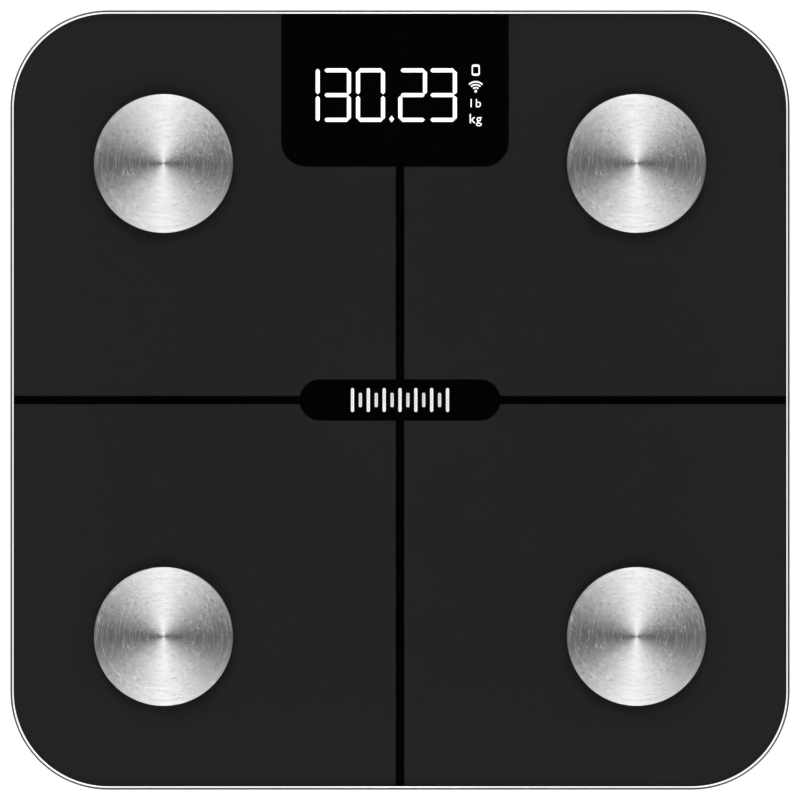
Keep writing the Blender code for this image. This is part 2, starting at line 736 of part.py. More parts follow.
def tray_skin():
    """The tray's outer surface, open at the top: floor, sides and the underside of the flange."""
    bm = bmesh.new()
    floor = [
        bm.verts.new((x, y, TRAY_LOW))
        for x, y in rounded_rectangle(TRAY_HALF, TRAY_HALF, TRAY_CORNER)
    ]
    face = bm.faces.new(floor)
    bmesh.ops.reverse_faces(bm, faces=[face])
    side = bmesh.ops.extrude_edge_only(bm, edges=list(face.edges))["geom"]
    raised = [v for v in side if isinstance(v, bmesh.types.BMVert)]
    bmesh.ops.translate(bm, vec=(0, 0, TRAY_HIGH - WALL - TRAY_LOW), verts=raised)
    rim = [e for e in side if isinstance(e, bmesh.types.BMEdge) and all(v in raised for v in e.verts)]
    flange = bmesh.ops.extrude_edge_only(bm, edges=rim)["geom"]
    flange_verts = [v for v in flange if isinstance(v, bmesh.types.BMVert)]
    outline = rounded_rectangle(FLANGE_HALF, FLANGE_HALF, FLANGE_CORNER)
    inner = rounded_rectangle(TRAY_HALF, TRAY_HALF, TRAY_CORNER)
    for vert in flange_verts:
        nearest = min(range(len(inner)), key=lambda i: (vert.co.xy - Vector(inner[i])).length)
        vert.co.x, vert.co.y = outline[nearest]
    bmesh.ops.recalc_face_normals(bm, faces=bm.faces)
    if face.normal.z > 0:
        bmesh.ops.reverse_faces(bm, faces=bm.faces)
    return mesh_object("tray", bm)


def make_tray():
    tray = tray_skin()
    bevel(tray, TRAY_ROUND, segments=3)
    shell = tray.modifiers.new("Wall", "SOLIDIFY")
    shell.thickness = WALL
    shell.offset = -1
    shell.use_even_offset = True
    sunk = TRAY_FLOOR - ROOT
    for corner, (sx, sy) in CORNERS.items():
        make_well(corner, sx * FOOT_OFFSET, sy * FOOT_OFFSET, sunk)
    make_bay(sunk)
    make_ribs(sunk)
    for i, (x, y) in enumerate(boss_places()):
        boss = cylinder(f"board_boss_{i}", BOSS_RADIUS, sunk, BOARD_LOW - GAP, x, y, steps=16)
        add_helper(boss, tray_blocks)
    for i, (x, y) in enumerate(screw_places()):
        pilot = cylinder(
            f"pilot_hole_{i}", SCREW_RADIUS + GAP, TRAY_FLOOR, BOARD_HIGH, x, y, steps=12
        )
        add_helper(pilot, tray_cutters)

    key_hole = cylinder("key_hole", KEY_RADIUS + GAP, TRAY_LOW - REACH, TRAY_FLOOR + REACH, KEY_X, KEY_Y)
    add_helper(key_hole, tray_cutters)
    wide, deep = LABEL[0] / 2 + GAP, LABEL[1] / 2 + GAP
    recess = plate(
        "label_recess",
        [rounded_rectangle(wide, deep, LABEL_CORNER, y=LABEL_Y, steps=3)],
        TRAY_LOW - REACH,
        TRAY_LOW + LABEL_THICK + GAP,
    )
    add_helper(recess, tray_cutters)

    boolean(tray, tray_blocks, "UNION")
    boolean(tray, tray_cutters, "DIFFERENCE")
    boolean(tray, tray_dividers, "UNION")
    add_part(tray, black_abs)


def make_well(corner, x, y, sunk):
    """The square wall round a load cell, the posts under its corners, and the foot's hole."""
    rings = [
        rounded_rectangle(WELL_OUTER, WELL_OUTER, WELL_WALL, steps=2),
        rounded_rectangle(WELL_INNER, WELL_INNER, WELL_FIT, steps=1),
    ]
    ring = plate(f"well_{corner}", rings, sunk, WELL_HIGH)
    ring.location.x, ring.location.y = x, y
    add_helper(ring, tray_blocks)
    inner = (FOOT_RADIUS + FOOT_LIP + POST_FIT) / math.sqrt(2)
    outer = WELL_INNER + ROOT
    for i, (sx, sy) in enumerate(CORNERS.values()):
        near = (x + sx * inner, y + sy * inner)
        far = (x + sx * outer, y + sy * outer)
        post = box(
            f"post_{corner}_{i}",
            (min(near[0], far[0]), min(near[1], far[1]), sunk),
            (max(near[0], far[0]), max(near[1], far[1]), CELL_LOW - GAP),
        )
        add_helper(post, tray_blocks)
    hole = cylinder(
        f"foot_hole_{corner}", FOOT_RADIUS + FOOT_HOLE_FIT, TRAY_LOW - REACH, TRAY_FLOOR + REACH, x, y
    )
    add_helper(hole, tray_cutters)


def make_bay(sunk):
    """The battery bay: a block raised from the floor and hollowed from below."""
    outer_x, outer_y = BAY_HALF_X + BAY_WALL, BAY_HALF_Y + BAY_WALL
    block = box(
        "bay_block",
        (-outer_x, BAY_Y - outer_y, sunk),
        (outer_x, BAY_Y + outer_y, TRAY_HIGH),
    )
    add_helper(block, tray_blocks)
    hollow = box(
        "bay_hollow",
        (-BAY_HALF_X, BAY_Y - BAY_HALF_Y, TRAY_LOW - REACH),
        (BAY_HALF_X, BAY_Y + BAY_HALF_Y, BAY_ROOF),
    )
    add_helper(hollow, tray_cutters)

    sweep = math.hypot(HOOK_REACH + DOOR_PIVOT_INSET, HOOK_HIGH - DOOR_PIVOT.z)
    for side in (-1, 1):
        slot = box(
            f"hook_slot_{side + 1}",
            (side * HOOK_X - HOOK_WIDTH / 2 - GAP, BAY_Y - outer_y - REACH, TRAY_FLOOR),
            (side * HOOK_X + HOOK_WIDTH / 2 + GAP, BAY_Y - BAY_HALF_Y + REACH, DOOR_PIVOT.z + sweep + GAP),
        )
        add_helper(slot, tray_cutters)
    wide, deep, tall = NAIL_SLOT
    nail = box(
        "nail_slot",
        (-wide / 2, BAY_Y + BAY_HALF_Y - REACH, TRAY_LOW - REACH),
        (wide / 2, BAY_Y + BAY_HALF_Y + deep, TRAY_LOW + tall),
    )
    add_helper(nail, tray_cutters)
    for i in (0, -1):
        bm = bmesh.new()
        bmesh.ops.create_cone(
            bm,
            cap_ends=True,
            segments=12,
            radius1=LEAD_RADIUS + WIRE_HOLE_FIT,
            radius2=LEAD_RADIUS + WIRE_HOLE_FIT,
            depth=BAY_WALL + 2 * REACH,
        )
        bmesh.ops.rotate(bm, matrix=Matrix.Rotation(math.radians(90), 3, "X"), verts=bm.verts)
        hole = mesh_object(f"wire_hole_{i + 1}", bm)
        hole.location = (BATTERY_XS[i], BAY_Y + BAY_HALF_Y + BAY_WALL / 2, CABLE_Z)
        add_helper(hole, tray_cutters)
    for i, (left, right) in enumerate(zip(BATTERY_XS, BATTERY_XS[1:])):
        middle = (left + right) / 2
        divider = box(
            f"divider_{i}",
            (middle - DIVIDER_THICK / 2, BAY_Y - BATTERY_LENGTH / 4, BAY_ROOF - DIVIDER_DROP),
            (middle + DIVIDER_THICK / 2, BAY_Y + BATTERY_LENGTH / 4, BAY_ROOF + ROOT),
        )
        add_helper(divider, tray_dividers)


def make_ribs(sunk):
    end = TRAY_HALF - WALL + ROOT
    high = TRAY_FLOOR + RIB_HEIGHT
    for i, x in enumerate(RIBS_ALONG_Y):
        rib = box(f"rib_y_{i}", (x - RIB_THICK / 2, -end, sunk), (x + RIB_THICK / 2, end, high))
        add_helper(rib, tray_blocks)
    reach = FOOT_OFFSET - WELL_OUTER + ROOT
    for i, y in enumerate(RIBS_ALONG_X):
        rib = box(f"rib_x_{i}", (-reach, y - RIB_THICK / 2, sunk), (reach, y + RIB_THICK / 2, high))
        add_helper(rib, tray_blocks)


# ---- battery cells, contacts and door ------------------------------------------------------------


def plus_end(i):
    """The Y direction that a cell's positive end points in: the cells lie head to tail."""
    return 1 if i % 2 == 0 else -1


def make_battery(i, x):
    shoulder = BATTERY_RADIUS - BATTERY_ROUND
    foot = BATTERY_ROUND / 2
    length = BATTERY_LENGTH
    cell = turned(
        f"battery_{i + 1}",
        [
            (0, length),
            (NUB_RADIUS, length),
            (NUB_RADIUS, length - NUB_LENGTH),
            (shoulder, length - NUB_LENGTH),
            (BATTERY_RADIUS, length - NUB_LENGTH - BATTERY_ROUND),
            (BATTERY_RADIUS, foot),
            (BATTERY_RADIUS - foot, 0),
            (0, 0),
        ],
        steps=20,
    )
    way = plus_end(i)
    cell.rotation_euler.x = -way * math.pi / 2
    cell.location = (x, BAY_Y + way * (CONTACT_FACE - PIP_LENGTH - GAP - length), BATTERY_Z)
    add_part(cell, battery_jacket)


def contact_pip(name, x, end):
    """The raised point that meets a cell's positive nub."""
    bm = bmesh.new()
    bmesh.ops.create_cone(
        bm,
        cap_ends=True,
        segments=12,
        radius1=PIP_RADII[0],
        radius2=PIP_RADII[1],
        depth=PIP_LENGTH + CONTACT_THICK / 2,
    )
    bmesh.ops.rotate(bm, matrix=Matrix.Rotation(end * math.radians(90), 3, "X"), verts=bm.verts)
    pip = mesh_object(name, bm)
    middle = CONTACT_FACE - PIP_LENGTH / 2 + CONTACT_THICK / 4
    pip.location = (x, BAY_Y + end * middle, BATTERY_Z)
    return add_helper(pip, helpers)


def contact_spring(name, x, end):
    """The cone-shaped coil that presses on a cell's negative end."""
    points = []
    count = int(SPRING_TURNS * 8)
    base = CONTACT_FACE + CONTACT_THICK / 2
    tip = CONTACT_FACE - SPRING_LENGTH + SPRING_WIRE
    for step in range(count + 1):
        t = step / count
        angle = 2 * math.pi * SPRING_TURNS * t
        radius = SPRING_RADII[0] + (SPRING_RADII[1] - SPRING_RADII[0]) * t
        rise = max(t - SPRING_FLAT, 0) / (1 - SPRING_FLAT)
        points.append(
            (
                x + radius * math.cos(angle),
                BAY_Y + end * (base + (tip - base) * rise),
                BATTERY_Z + SPRING_RISE + radius * math.sin(angle),
            )
        )
    coil = tube(name + "_wire", points, SPRING_WIRE)
    return add_helper(curve_to_mesh(coil, name), helpers)


def make_contact(name, end, xs, pip_at=None, spring_at=None):
    """A nickel-plated strip at one end of the bay, with a pip, a spring or both."""
    half = BATTERY_RADIUS - CONTACT_INSET
    inner, outer = BAY_Y + end * CONTACT_FACE, BAY_Y + end * (CONTACT_FACE + CONTACT_THICK)
    strip = box(
        name,
        (min(xs) - half, min(inner, outer), CONTACT_LOW),
        (max(xs) + half, max(inner, outer), CONTACT_LOW + CONTACT_HEIGHT),
    )
    if pip_at is not None:
        boolean(strip, contact_pip(name + "_pip", pip_at, end), "UNION")
    if spring_at is not None:
        boolean(strip, contact_spring(name + "_spring", spring_at, end), "UNION")
    add_part(strip, nickel)


def make_contacts():
    first, last = BATTERY_XS[0], BATTERY_XS[-1]
    make_contact("contact_positive", plus_end(0), [first], pip_at=first)
    last_end = -plus_end(BATTERY_COUNT - 1)
    make_contact("contact_negative", last_end, [last], spring_at=last)
    for i, (here, following) in enumerate(zip(BATTERY_XS, BATTERY_XS[1:])):
        make_contact(
            f"contact_bridge_{i + 1}", -plus_end(i), [here, following], pip_at=following, spring_at=here
        )


def make_battery_leads():
    end = PINS_Y
    wall = BAY_Y + BAY_HALF_Y + BAY_WALL
    for name, x, side, material in (
        ("battery_lead_positive", BATTERY_XS[0], -1, red_wire),
        ("battery_lead_negative", BATTERY_XS[-1], 1, black_wire),
    ):
        pin = side * PINS["battery"]
        route = [
            (x, BAY_Y + CONTACT_FACE + CONTACT_THICK + GAP, CABLE_Z),
            (x, wall + 0.4 * MM, CABLE_Z),
            (x - side * 4 * MM, wall + 1.7 * MM, CABLE_Z),
            (pin + side * 4 * MM, wall + 2.4 * MM, CABLE_Z),
            (pin, wall + 5 * MM, CABLE_Z),
            (pin, end, CABLE_Z),
        ]
        add_part(tube(name, smooth_route(route), LEAD_RADIUS), material)


def make_door():
    """The battery door, with its origin on the line that it turns about."""
    half_y = (DOOR_REAR - DOOR_FRONT) / 2
    middle = (DOOR_REAR + DOOR_FRONT) / 2
    door = plate(
        "battery_door",
        [rounded_rectangle(DOOR_HALF_X, half_y, DOOR_CORNER, y=middle, steps=2)],
        DOOR_LOW,
        DOOR_HIGH,
    )
    door.data.transform(Matrix.Translation(door.location - DOOR_PIVOT))
    door.location = DOOR_PIVOT
    for side in (-1, 1):
        x = side * HOOK_X
        riser = box(
            f"hook_riser_{side + 1}",
            (x - HOOK_WIDTH / 2, DOOR_FRONT + GAP, DOOR_HIGH - ROOT),
            (x + HOOK_WIDTH / 2, DOOR_FRONT + GAP + HOOK_THICK, HOOK_LOW + ROOT),
        )
        add_helper(riser, door_blocks)
        hook = box(
            f"hook_{side + 1}",
            (x - HOOK_WIDTH / 2, DOOR_FRONT - HOOK_REACH, HOOK_LOW),
            (x + HOOK_WIDTH / 2, DOOR_FRONT + GAP + HOOK_THICK + ROOT, HOOK_HIGH),
        )
        add_helper(hook, door_blocks)
    latch = box(
        "latch",
        (-LATCH_WIDTH / 2, DOOR_REAR - LATCH_SETBACK - LATCH_THICK, DOOR_HIGH - ROOT),
        (LATCH_WIDTH / 2, DOOR_REAR - LATCH_SETBACK, DOOR_HIGH + LATCH_HEIGHT),
    )
    add_helper(latch, door_blocks)
    wide, deep, tall = GRIP_GROOVE
    for i in range(GRIP_COUNT):
        y = DOOR_REAR - GRIP_SETBACK - i * GRIP_PITCH
        groove = box(
            f"grip_{i}",
            (-wide / 2, y - deep / 2, DOOR_LOW - REACH),
            (wide / 2, y + deep / 2, DOOR_LOW + tall),
        )
        add_helper(groove, door_cutters)
    boolean(door, door_blocks, "UNION")
    boolean(door, door_cutters, "DIFFERENCE")
    add_part(door, black_abs)


# ---- board, display and unit key -----------------------------------------------------------------


def screw_places():
    side = BOARD_WIDTH / 2 - BOSS_INSET
    return [(DISPLAY_X - side, SCREW_Y), (DISPLAY_X + side, SCREW_Y)]


def boss_places():
    side = BOARD_WIDTH / 2 - BOSS_INSET
    rows = (BOARD_FRONT + BOSS_INSET, BOARD_REAR - BOSS_INSET)
    plain = [(DISPLAY_X + s * side, y) for y in rows for s in (-1, 1)]
    return screw_places() + plain


def make_board():
    half_y = BOARD_DEPTH / 2
    middle = (BOARD_FRONT + BOARD_REAR) / 2
    edge = rounded_rectangle(BOARD_WIDTH / 2, half_y, BOARD_CORNER, DISPLAY_X, middle, steps=3)
    holes = [circle(SCREW_RADIUS + GAP, x, y, steps=12) for x, y in screw_places()]
    board = plate("main_board", [edge, *holes], BOARD_LOW, BOARD_HIGH)
    add_part(board, green_board)

    for name, (x, wide, deep, tall) in CHIPS.items():
        low = (x - wide / 2, CHIP_Y - deep / 2, ON_BOARD)
        high = (x + wide / 2, CHIP_Y + deep / 2, ON_BOARD + tall)
        chip = box(name, low, high)
        bevel(chip, CHIP_EDGE, segments=1)
        add_part(chip, plated_steel if name == "radio_module" else chip_epoxy)

    wide, deep = CONNECTOR
    front = BOARD_FRONT + CONNECTOR_SETBACK
    header = box(
        "wire_connector",
        (-wide / 2, front, ON_BOARD),
        (wide / 2, front + deep, LEAD_Z + LEAD_RADIUS + CONNECTOR_COVER),
    )
    add_part(header, white_nylon)

    for side, (x, y) in zip(("left", "right"), screw_places()):
        head = BOARD_HIGH + GAP
        screw = turned(
            f"board_screw_{side}",
            [
                (0, head + SCREW_HEAD_THICK),
                (SCREW_HEAD_RADIUS * 0.6, head + SCREW_HEAD_THICK),
                (SCREW_HEAD_RADIUS, head + SCREW_HEAD_THICK * 0.4),
                (SCREW_HEAD_RADIUS, head),
                (SCREW_RADIUS, head),
                (SCREW_RADIUS, head - BOARD_THICK - SCREW_LENGTH),
                (0, head - BOARD_THICK - SCREW_LENGTH - 0.6 * MM),
            ],
            steps=12,
        )
        screw.location = (x, y, 0)
        add_part(screw, zinc_steel)


def segment_outline(x, y, length, upright):
    """A display segment: a bar with pointed ends."""
    half, thin = length / 2, SEGMENT_WIDTH / 2
    neck = half - thin
    outline = [(half, 0), (neck, thin), (-neck, thin), (-half, 0), (-neck, -thin), (neck, -thin)]
    if upright:
        outline = [(-b, a) for a, b in outline]
    return [(x + a, y + b) for a, b in outline]


def digit_segments(left, only_right=False):
    """Outlines of a digit's seven segments, or of the two right-hand ones."""
    half_h = (DIGIT_HEIGHT - SEGMENT_WIDTH) / 2
    across = DIGIT_WIDTH - SEGMENT_WIDTH
    length_up = half_h - 2 * SEGMENT_SPLIT
    length_across = across - 2 * SEGMENT_SPLIT
    right = left + DIGIT_WIDTH - SEGMENT_WIDTH / 2
    outlines = [segment_outline(right, DISPLAY_Y + s * half_h / 2, length_up, True) for s in (-1, 1)]
    if only_right:
        return outlines
    x = left + SEGMENT_WIDTH / 2
    outlines += [segment_outline(x, DISPLAY_Y + s * half_h / 2, length_up, True) for s in (-1, 1)]
    middle = x + across / 2
    outlines += [segment_outline(middle, DISPLAY_Y + s * half_h, length_across, False) for s in (-1, 0, 1)]
    return outlines


def make_display():
    """The reflector block with a pocket for every segment and icon, and the diffuser on top of it."""
    half_x, half_y = REFLECTOR_WIDTH / 2, REFLECTOR_DEPTH / 2
    reflector = plate(
        "led_reflector",
        [rounded_rectangle(half_x, half_y, 1 * MM, REFLECTOR_X, DISPLAY_Y, steps=2)],
        ON_BOARD,
        REFLECTOR_HIGH,
    )
    pockets = digit_segments(ONE_X + SEGMENT_WIDTH / 2 - DIGIT_WIDTH, only_right=True)
    for left in DIGIT_LEFTS:
        pockets += digit_segments(left)
    pockets.append(circle(POINT_RADIUS, POINT_X, DISPLAY_Y - DIGIT_HEIGHT / 2 + POINT_RADIUS, steps=6))
    for rise in ICON_RISES:
        side = ICON_SIDE / 2
        pockets.append(rounded_rectangle(side, side, 0.6 * MM, ICON_X, DISPLAY_Y + rise, steps=1))
    for i, outline in enumerate(pockets):
        pocket = plate(f"pocket_{i}", [outline], ON_BOARD + REFLECTOR_FLOOR, REFLECTOR_HIGH + REACH)
        add_helper(pocket, reflector_cutters)
    boolean(reflector, reflector_cutters, "DIFFERENCE")
    add_part(reflector, white_nylon)

    diffuser = plate(
        "segment_diffuser",
        [rounded_rectangle(half_x, half_y, 1 * MM, REFLECTOR_X, DISPLAY_Y, steps=2)],
        DIFFUSER_LOW,
        DIFFUSER_HIGH,
    )
    add_part(diffuser, smoked_diffuser)


def make_unit_key():
    """The tact switch under the board, and the key that reaches it through the tray."""
    half = SWITCH_SIDE / 2
    switch = box(
        "unit_switch",
        (KEY_X - half, KEY_Y - half, PLUNGER_LOW + PLUNGER_LENGTH),
        (KEY_X + half, KEY_Y + half, SWITCH_HIGH),
    )
    plunger_high = PLUNGER_LOW + PLUNGER_LENGTH + ROOT
    plunger = cylinder(
        "switch_plunger", PLUNGER_RADIUS, PLUNGER_LOW, plunger_high, KEY_X, KEY_Y, steps=12
    )
    add_helper(plunger, helpers)
    boolean(switch, plunger, "UNION")
    add_part(switch, chip_epoxy)

    low = TRAY_LOW + KEY_RECESS
    key = turned(
        "unit_key",
        [
            (0, KEY_HIGH),
            (KEY_RADIUS + KEY_LIP, KEY_HIGH),
            (KEY_RADIUS + KEY_LIP, KEY_LIP_LOW),
            (KEY_RADIUS, KEY_LIP_LOW),
            (KEY_RADIUS, low + 0.3 * MM),
            (KEY_RADIUS - 0.3 * MM, low),
            (0, low),
        ],
        steps=20,
    )
    key.location = (KEY_X, KEY_Y, 0)
    add_part(key, grey_abs)


def make_label():
    half_x, half_y = (side / 2 - LABEL_MARGIN + GAP for side in LABEL)
    outline = rounded_rectangle(half_x, half_y, LABEL_CORNER, y=LABEL_Y, steps=3)
    label = plate("rating_label", [outline], TRAY_LOW, TRAY_LOW + LABEL_THICK)
    add_part(label, silver_label)


# ---- assembly ------------------------------------------------------------------------------------

clear_scene()
parts = new_collection("bathroom_scale")
helpers = new_collection("joined_and_cut", hidden=True)
tray_blocks = new_collection("tray_blocks", hidden=True)
tray_cutters = new_collection("tray_cutters", hidden=True)
tray_dividers = new_collection("tray_dividers", hidden=True)
door_blocks = new_collection("door_blocks", hidden=True)
door_cutters = new_collection("door_cutters", hidden=True)
reflector_cutters = new_collection("reflector_cutters", hidden=True)

tempered_glass = new_material("tempered_glass", (0.9, 0.95, 0.93), 0.03, transmission=1.0)
black_print = new_material("black_print", (0.016, 0.016, 0.016), 0.35)
grey_foam = new_material("grey_foam", (0.12, 0.12, 0.12), 0.95)
brushed_steel = new_material("brushed_steel", (0.72, 0.72, 0.73), 0.32, metallic=1.0)
zinc_steel = new_material("zinc_steel", (0.6, 0.6, 0.58), 0.4, metallic=1.0)
plated_steel = new_material("plated_steel", (0.55, 0.56, 0.57), 0.45, metallic=1.0)
nickel = new_material("nickel", (0.66, 0.63, 0.58), 0.3, metallic=1.0)
black_abs = new_material("black_abs", (0.022, 0.022, 0.024), 0.55)
grey_abs = new_material("grey_abs", (0.25, 0.25, 0.26), 0.5)
grey_rubber = new_material("grey_rubber", (0.09, 0.09, 0.09), 0.9)
green_board = new_material("green_board", (0.01, 0.12, 0.05), 0.4)
chip_epoxy = new_material("chip_epoxy", (0.02, 0.02, 0.02), 0.5)
white_nylon = new_material("white_nylon", (0.8, 0.8, 0.77), 0.5)
smoked_diffuser = new_material("smoked_diffuser", (0.35, 0.35, 0.35), 0.4)
battery_jacket = new_material("battery_jacket", (0.05, 0.2, 0.1), 0.35)
silver_label = new_material("silver_label", (0.7, 0.7, 0.7), 0.4)
white_wire = new_material("white_wire", (0.8, 0.8, 0.8), 0.5)
red_wire = new_material("red_wire", (0.6, 0.02, 0.02), 0.5)
black_wire = new_material("black_wire", (0.02, 0.02, 0.02), 0.5)
grey_cable = new_material("grey_cable", (0.3, 0.3, 0.3), 0.6)

make_platform()
for corner_name, (side_x, side_y) in CORNERS.items():
    make_electrode(corner_name, side_x, side_y)
    make_load_cell(corner_name, side_x, side_y)
    make_foot(corner_name, side_x, side_y)
make_tray()
for number, place_x in enumerate(BATTERY_XS):
    make_battery(number, place_x)
make_contacts()
make_battery_leads()
make_door()
make_board()
make_display()
make_unit_key()
make_label()

for part in parts.objects:
    if part.type == "MESH":
        part.data.shade_smooth()
        part.data.set_sharp_from_angle(angle=math.radians(35))
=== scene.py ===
import json
import math

import bmesh
import bpy
from mathutils import Matrix, Vector

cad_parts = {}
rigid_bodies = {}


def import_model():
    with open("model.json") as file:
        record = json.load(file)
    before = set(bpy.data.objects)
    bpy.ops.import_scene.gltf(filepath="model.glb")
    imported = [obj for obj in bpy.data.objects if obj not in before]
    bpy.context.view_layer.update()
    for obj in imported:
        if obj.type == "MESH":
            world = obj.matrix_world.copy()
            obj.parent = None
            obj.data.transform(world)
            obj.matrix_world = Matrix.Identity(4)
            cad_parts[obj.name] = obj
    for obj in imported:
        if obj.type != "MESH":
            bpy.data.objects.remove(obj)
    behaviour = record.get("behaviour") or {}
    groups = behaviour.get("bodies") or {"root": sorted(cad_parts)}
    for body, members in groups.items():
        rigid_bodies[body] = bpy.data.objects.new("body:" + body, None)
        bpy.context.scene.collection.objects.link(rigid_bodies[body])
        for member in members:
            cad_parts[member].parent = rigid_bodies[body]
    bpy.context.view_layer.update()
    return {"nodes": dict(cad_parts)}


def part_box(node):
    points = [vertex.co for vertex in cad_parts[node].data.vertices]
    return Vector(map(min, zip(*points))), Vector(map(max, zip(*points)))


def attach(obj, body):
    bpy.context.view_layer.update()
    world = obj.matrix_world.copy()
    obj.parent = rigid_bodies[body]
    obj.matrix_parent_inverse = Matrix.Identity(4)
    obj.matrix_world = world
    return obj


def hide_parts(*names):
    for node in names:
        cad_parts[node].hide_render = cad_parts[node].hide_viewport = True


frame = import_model()
nodes = frame["nodes"]
mm = 0.001
cornerSigns = {"front_left": (-1, -1), "front_right": (1, -1), "rear_left": (-1, 1), "rear_right": (1, 1)}
print("frame: loaded", len(nodes), "nodes")

view = {
    "lens": 250.0,
    "sensor": 36.0,
    "width": 287.25 * mm,  # what the frame takes in at the top of the glass
}
floor = {"half": 8.0, "albedo": 0.7, "glow": 0.85}  # a white table lit from within
studio = {
    "boxFrom": (34.0, 50.0),  # degrees above the horizon where the soft boxes fade in
    "boxTo": (74.0, 84.0),  # and where they fade out again, so that the zenith stays dark
    "boxLevel": 2.5,
    "sideLevel": 0.02,  # of the soft boxes to the left and right
    "beamLevel": 3.2,  # a narrow brighter strip straight ahead and behind
    "beamFrom": 0.962,
    "dipTo": 0.06,  # how far from left and right the boxes are dimmed
    "dipLevel": 0.0,
    "horizonLevel": 0.07,
    "zenithLevel": 0.005,
    "belowLevel": 0.10,
    "belowLamp": 2.6,  # a soft lamp low on the left, for when the scale is turned over
    "belowFrom": (-0.62, -0.35, -0.70),
    "belowSpread": (0.55, 0.98),
    "backdrop": (0.93, 0.93, 0.93),
}


def feed(tree, value, socket):
    # a socket is linked, and anything else becomes the input's own value
    if isinstance(value, bpy.types.NodeSocket):
        tree.links.new(value, socket)
    else:
        socket.default_value = value


def addNode(tree, kind, inputs=(), **settings):
    node = tree.nodes.new(kind)
    for name, value in settings.items():
        setattr(node, name, value)
    for label, value in inputs.items() if isinstance(inputs, dict) else enumerate(inputs):
        feed(tree, value, node.inputs[label])
    return node


def calc(tree, operation, *values, clamp=False):
    return addNode(tree, "ShaderNodeMath", values, operation=operation, use_clamp=clamp).outputs[0]


def vectorCalc(tree, operation, *values):
    node = addNode(tree, "ShaderNodeVectorMath", values, operation=operation)
    return node.outputs["Value" if operation in ("LENGTH", "DOT_PRODUCT") else "Vector"]


def split(tree, vector):
    return addNode(tree, "ShaderNodeSeparateXYZ", (vector,)).outputs


def ramp(tree, value, start, end, low=0.0, high=1.0):
    # smooth step from low to high as the value goes from start to end
    inputs = {"Value": value, "From Min": start, "From Max": end, "To Min": low, "To Max": high}
    return addNode(tree, "ShaderNodeMapRange", inputs, interpolation_type="SMOOTHSTEP").outputs["Result"]


def blendShaders(tree, factor, first, second, out):
    mix = addNode(tree, "ShaderNodeMixShader", (factor, first.outputs[0], second.outputs[0]))
    tree.links.new(mix.outputs[0], out.inputs["Surface"])


def dress(tree, shader, **inputs):
    # feeds the shader's inputs, with Base_Color for Base Color
    for label, value in inputs.items():
        feed(tree, value, shader.inputs[label.replace("_", " ")])


def newMaterial(name, colour, roughness, **inputs):
    material = bpy.data.materials.new(name)
    material.use_nodes = True
    tree = material.node_tree
    shader = tree.nodes["Principled BSDF"]
    dress(tree, shader, Base_Color=(*colour, 1), Roughness=roughness, **inputs)
    return material, tree, shader


def addToScene(name, data):
    thing = bpy.data.objects.new(name, data)
    bpy.context.scene.collection.objects.link(thing)
    return thing


def inMm(**values):
    # lengths given in millimetres, alone or in tuples; a whole number is a count and stays
    def metres(value):
        if isinstance(value, tuple):
            return tuple(metres(part) for part in value)
        return value * mm if isinstance(value, float) else value

    return {name: metres(value) for name, value in values.items()}


def centred(name):
    # the middle of a CAD piece's box, and half its size
    low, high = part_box(name)
    return (low + high) / 2, (high - low) / 2


def plainMesh(bm, name):
    mesh = bpy.data.meshes.new(name)
    bm.to_mesh(mesh)
    bm.free()
    return mesh


def makeCamera():
    data = bpy.data.cameras.new("camera")
    data.lens, data.sensor_width = view["lens"], view["sensor"]
    data.clip_start, data.clip_end = 0.05, 50.0
    camera = addToScene("camera", data)
    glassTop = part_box("glass_platform")[1].z
    camera.location = (0, 0, glassTop + view["width"] * view["lens"] / view["sensor"])
    bpy.context.scene.camera = camera
    bpy.context.scene.view_settings.view_transform = "Standard"


def makeFloor():
    bm = bmesh.new()
    bmesh.ops.create_grid(bm, x_segments=1, y_segments=1, size=floor["half"])
    plane = addToScene("floor", plainMesh(bm, "floor"))
    material, tree, white = newMaterial("floorWhite", (floor["albedo"],) * 3, 1.0, Specular_IOR_Level=0.0)
    dress(tree, white, Emission_Color=(1, 1, 1, 1), Emission_Strength=floor["glow"])
    clear = tree.nodes.new("ShaderNodeBsdfTransparent")
    ray = tree.nodes.new("ShaderNodeLightPath").outputs
    behind = tree.nodes.new("ShaderNodeNewGeometry").outputs["Backfacing"]
    # seen from below the floor isn't there, and light from below passes through it
    passing = calc(tree, "MAXIMUM", calc(tree, "MAXIMUM", ray["Is Shadow Ray"], ray["Is Diffuse Ray"]), behind)
    blendShaders(tree, passing, white, clear, tree.nodes["Material Output"])
    plane.data.materials.append(material)


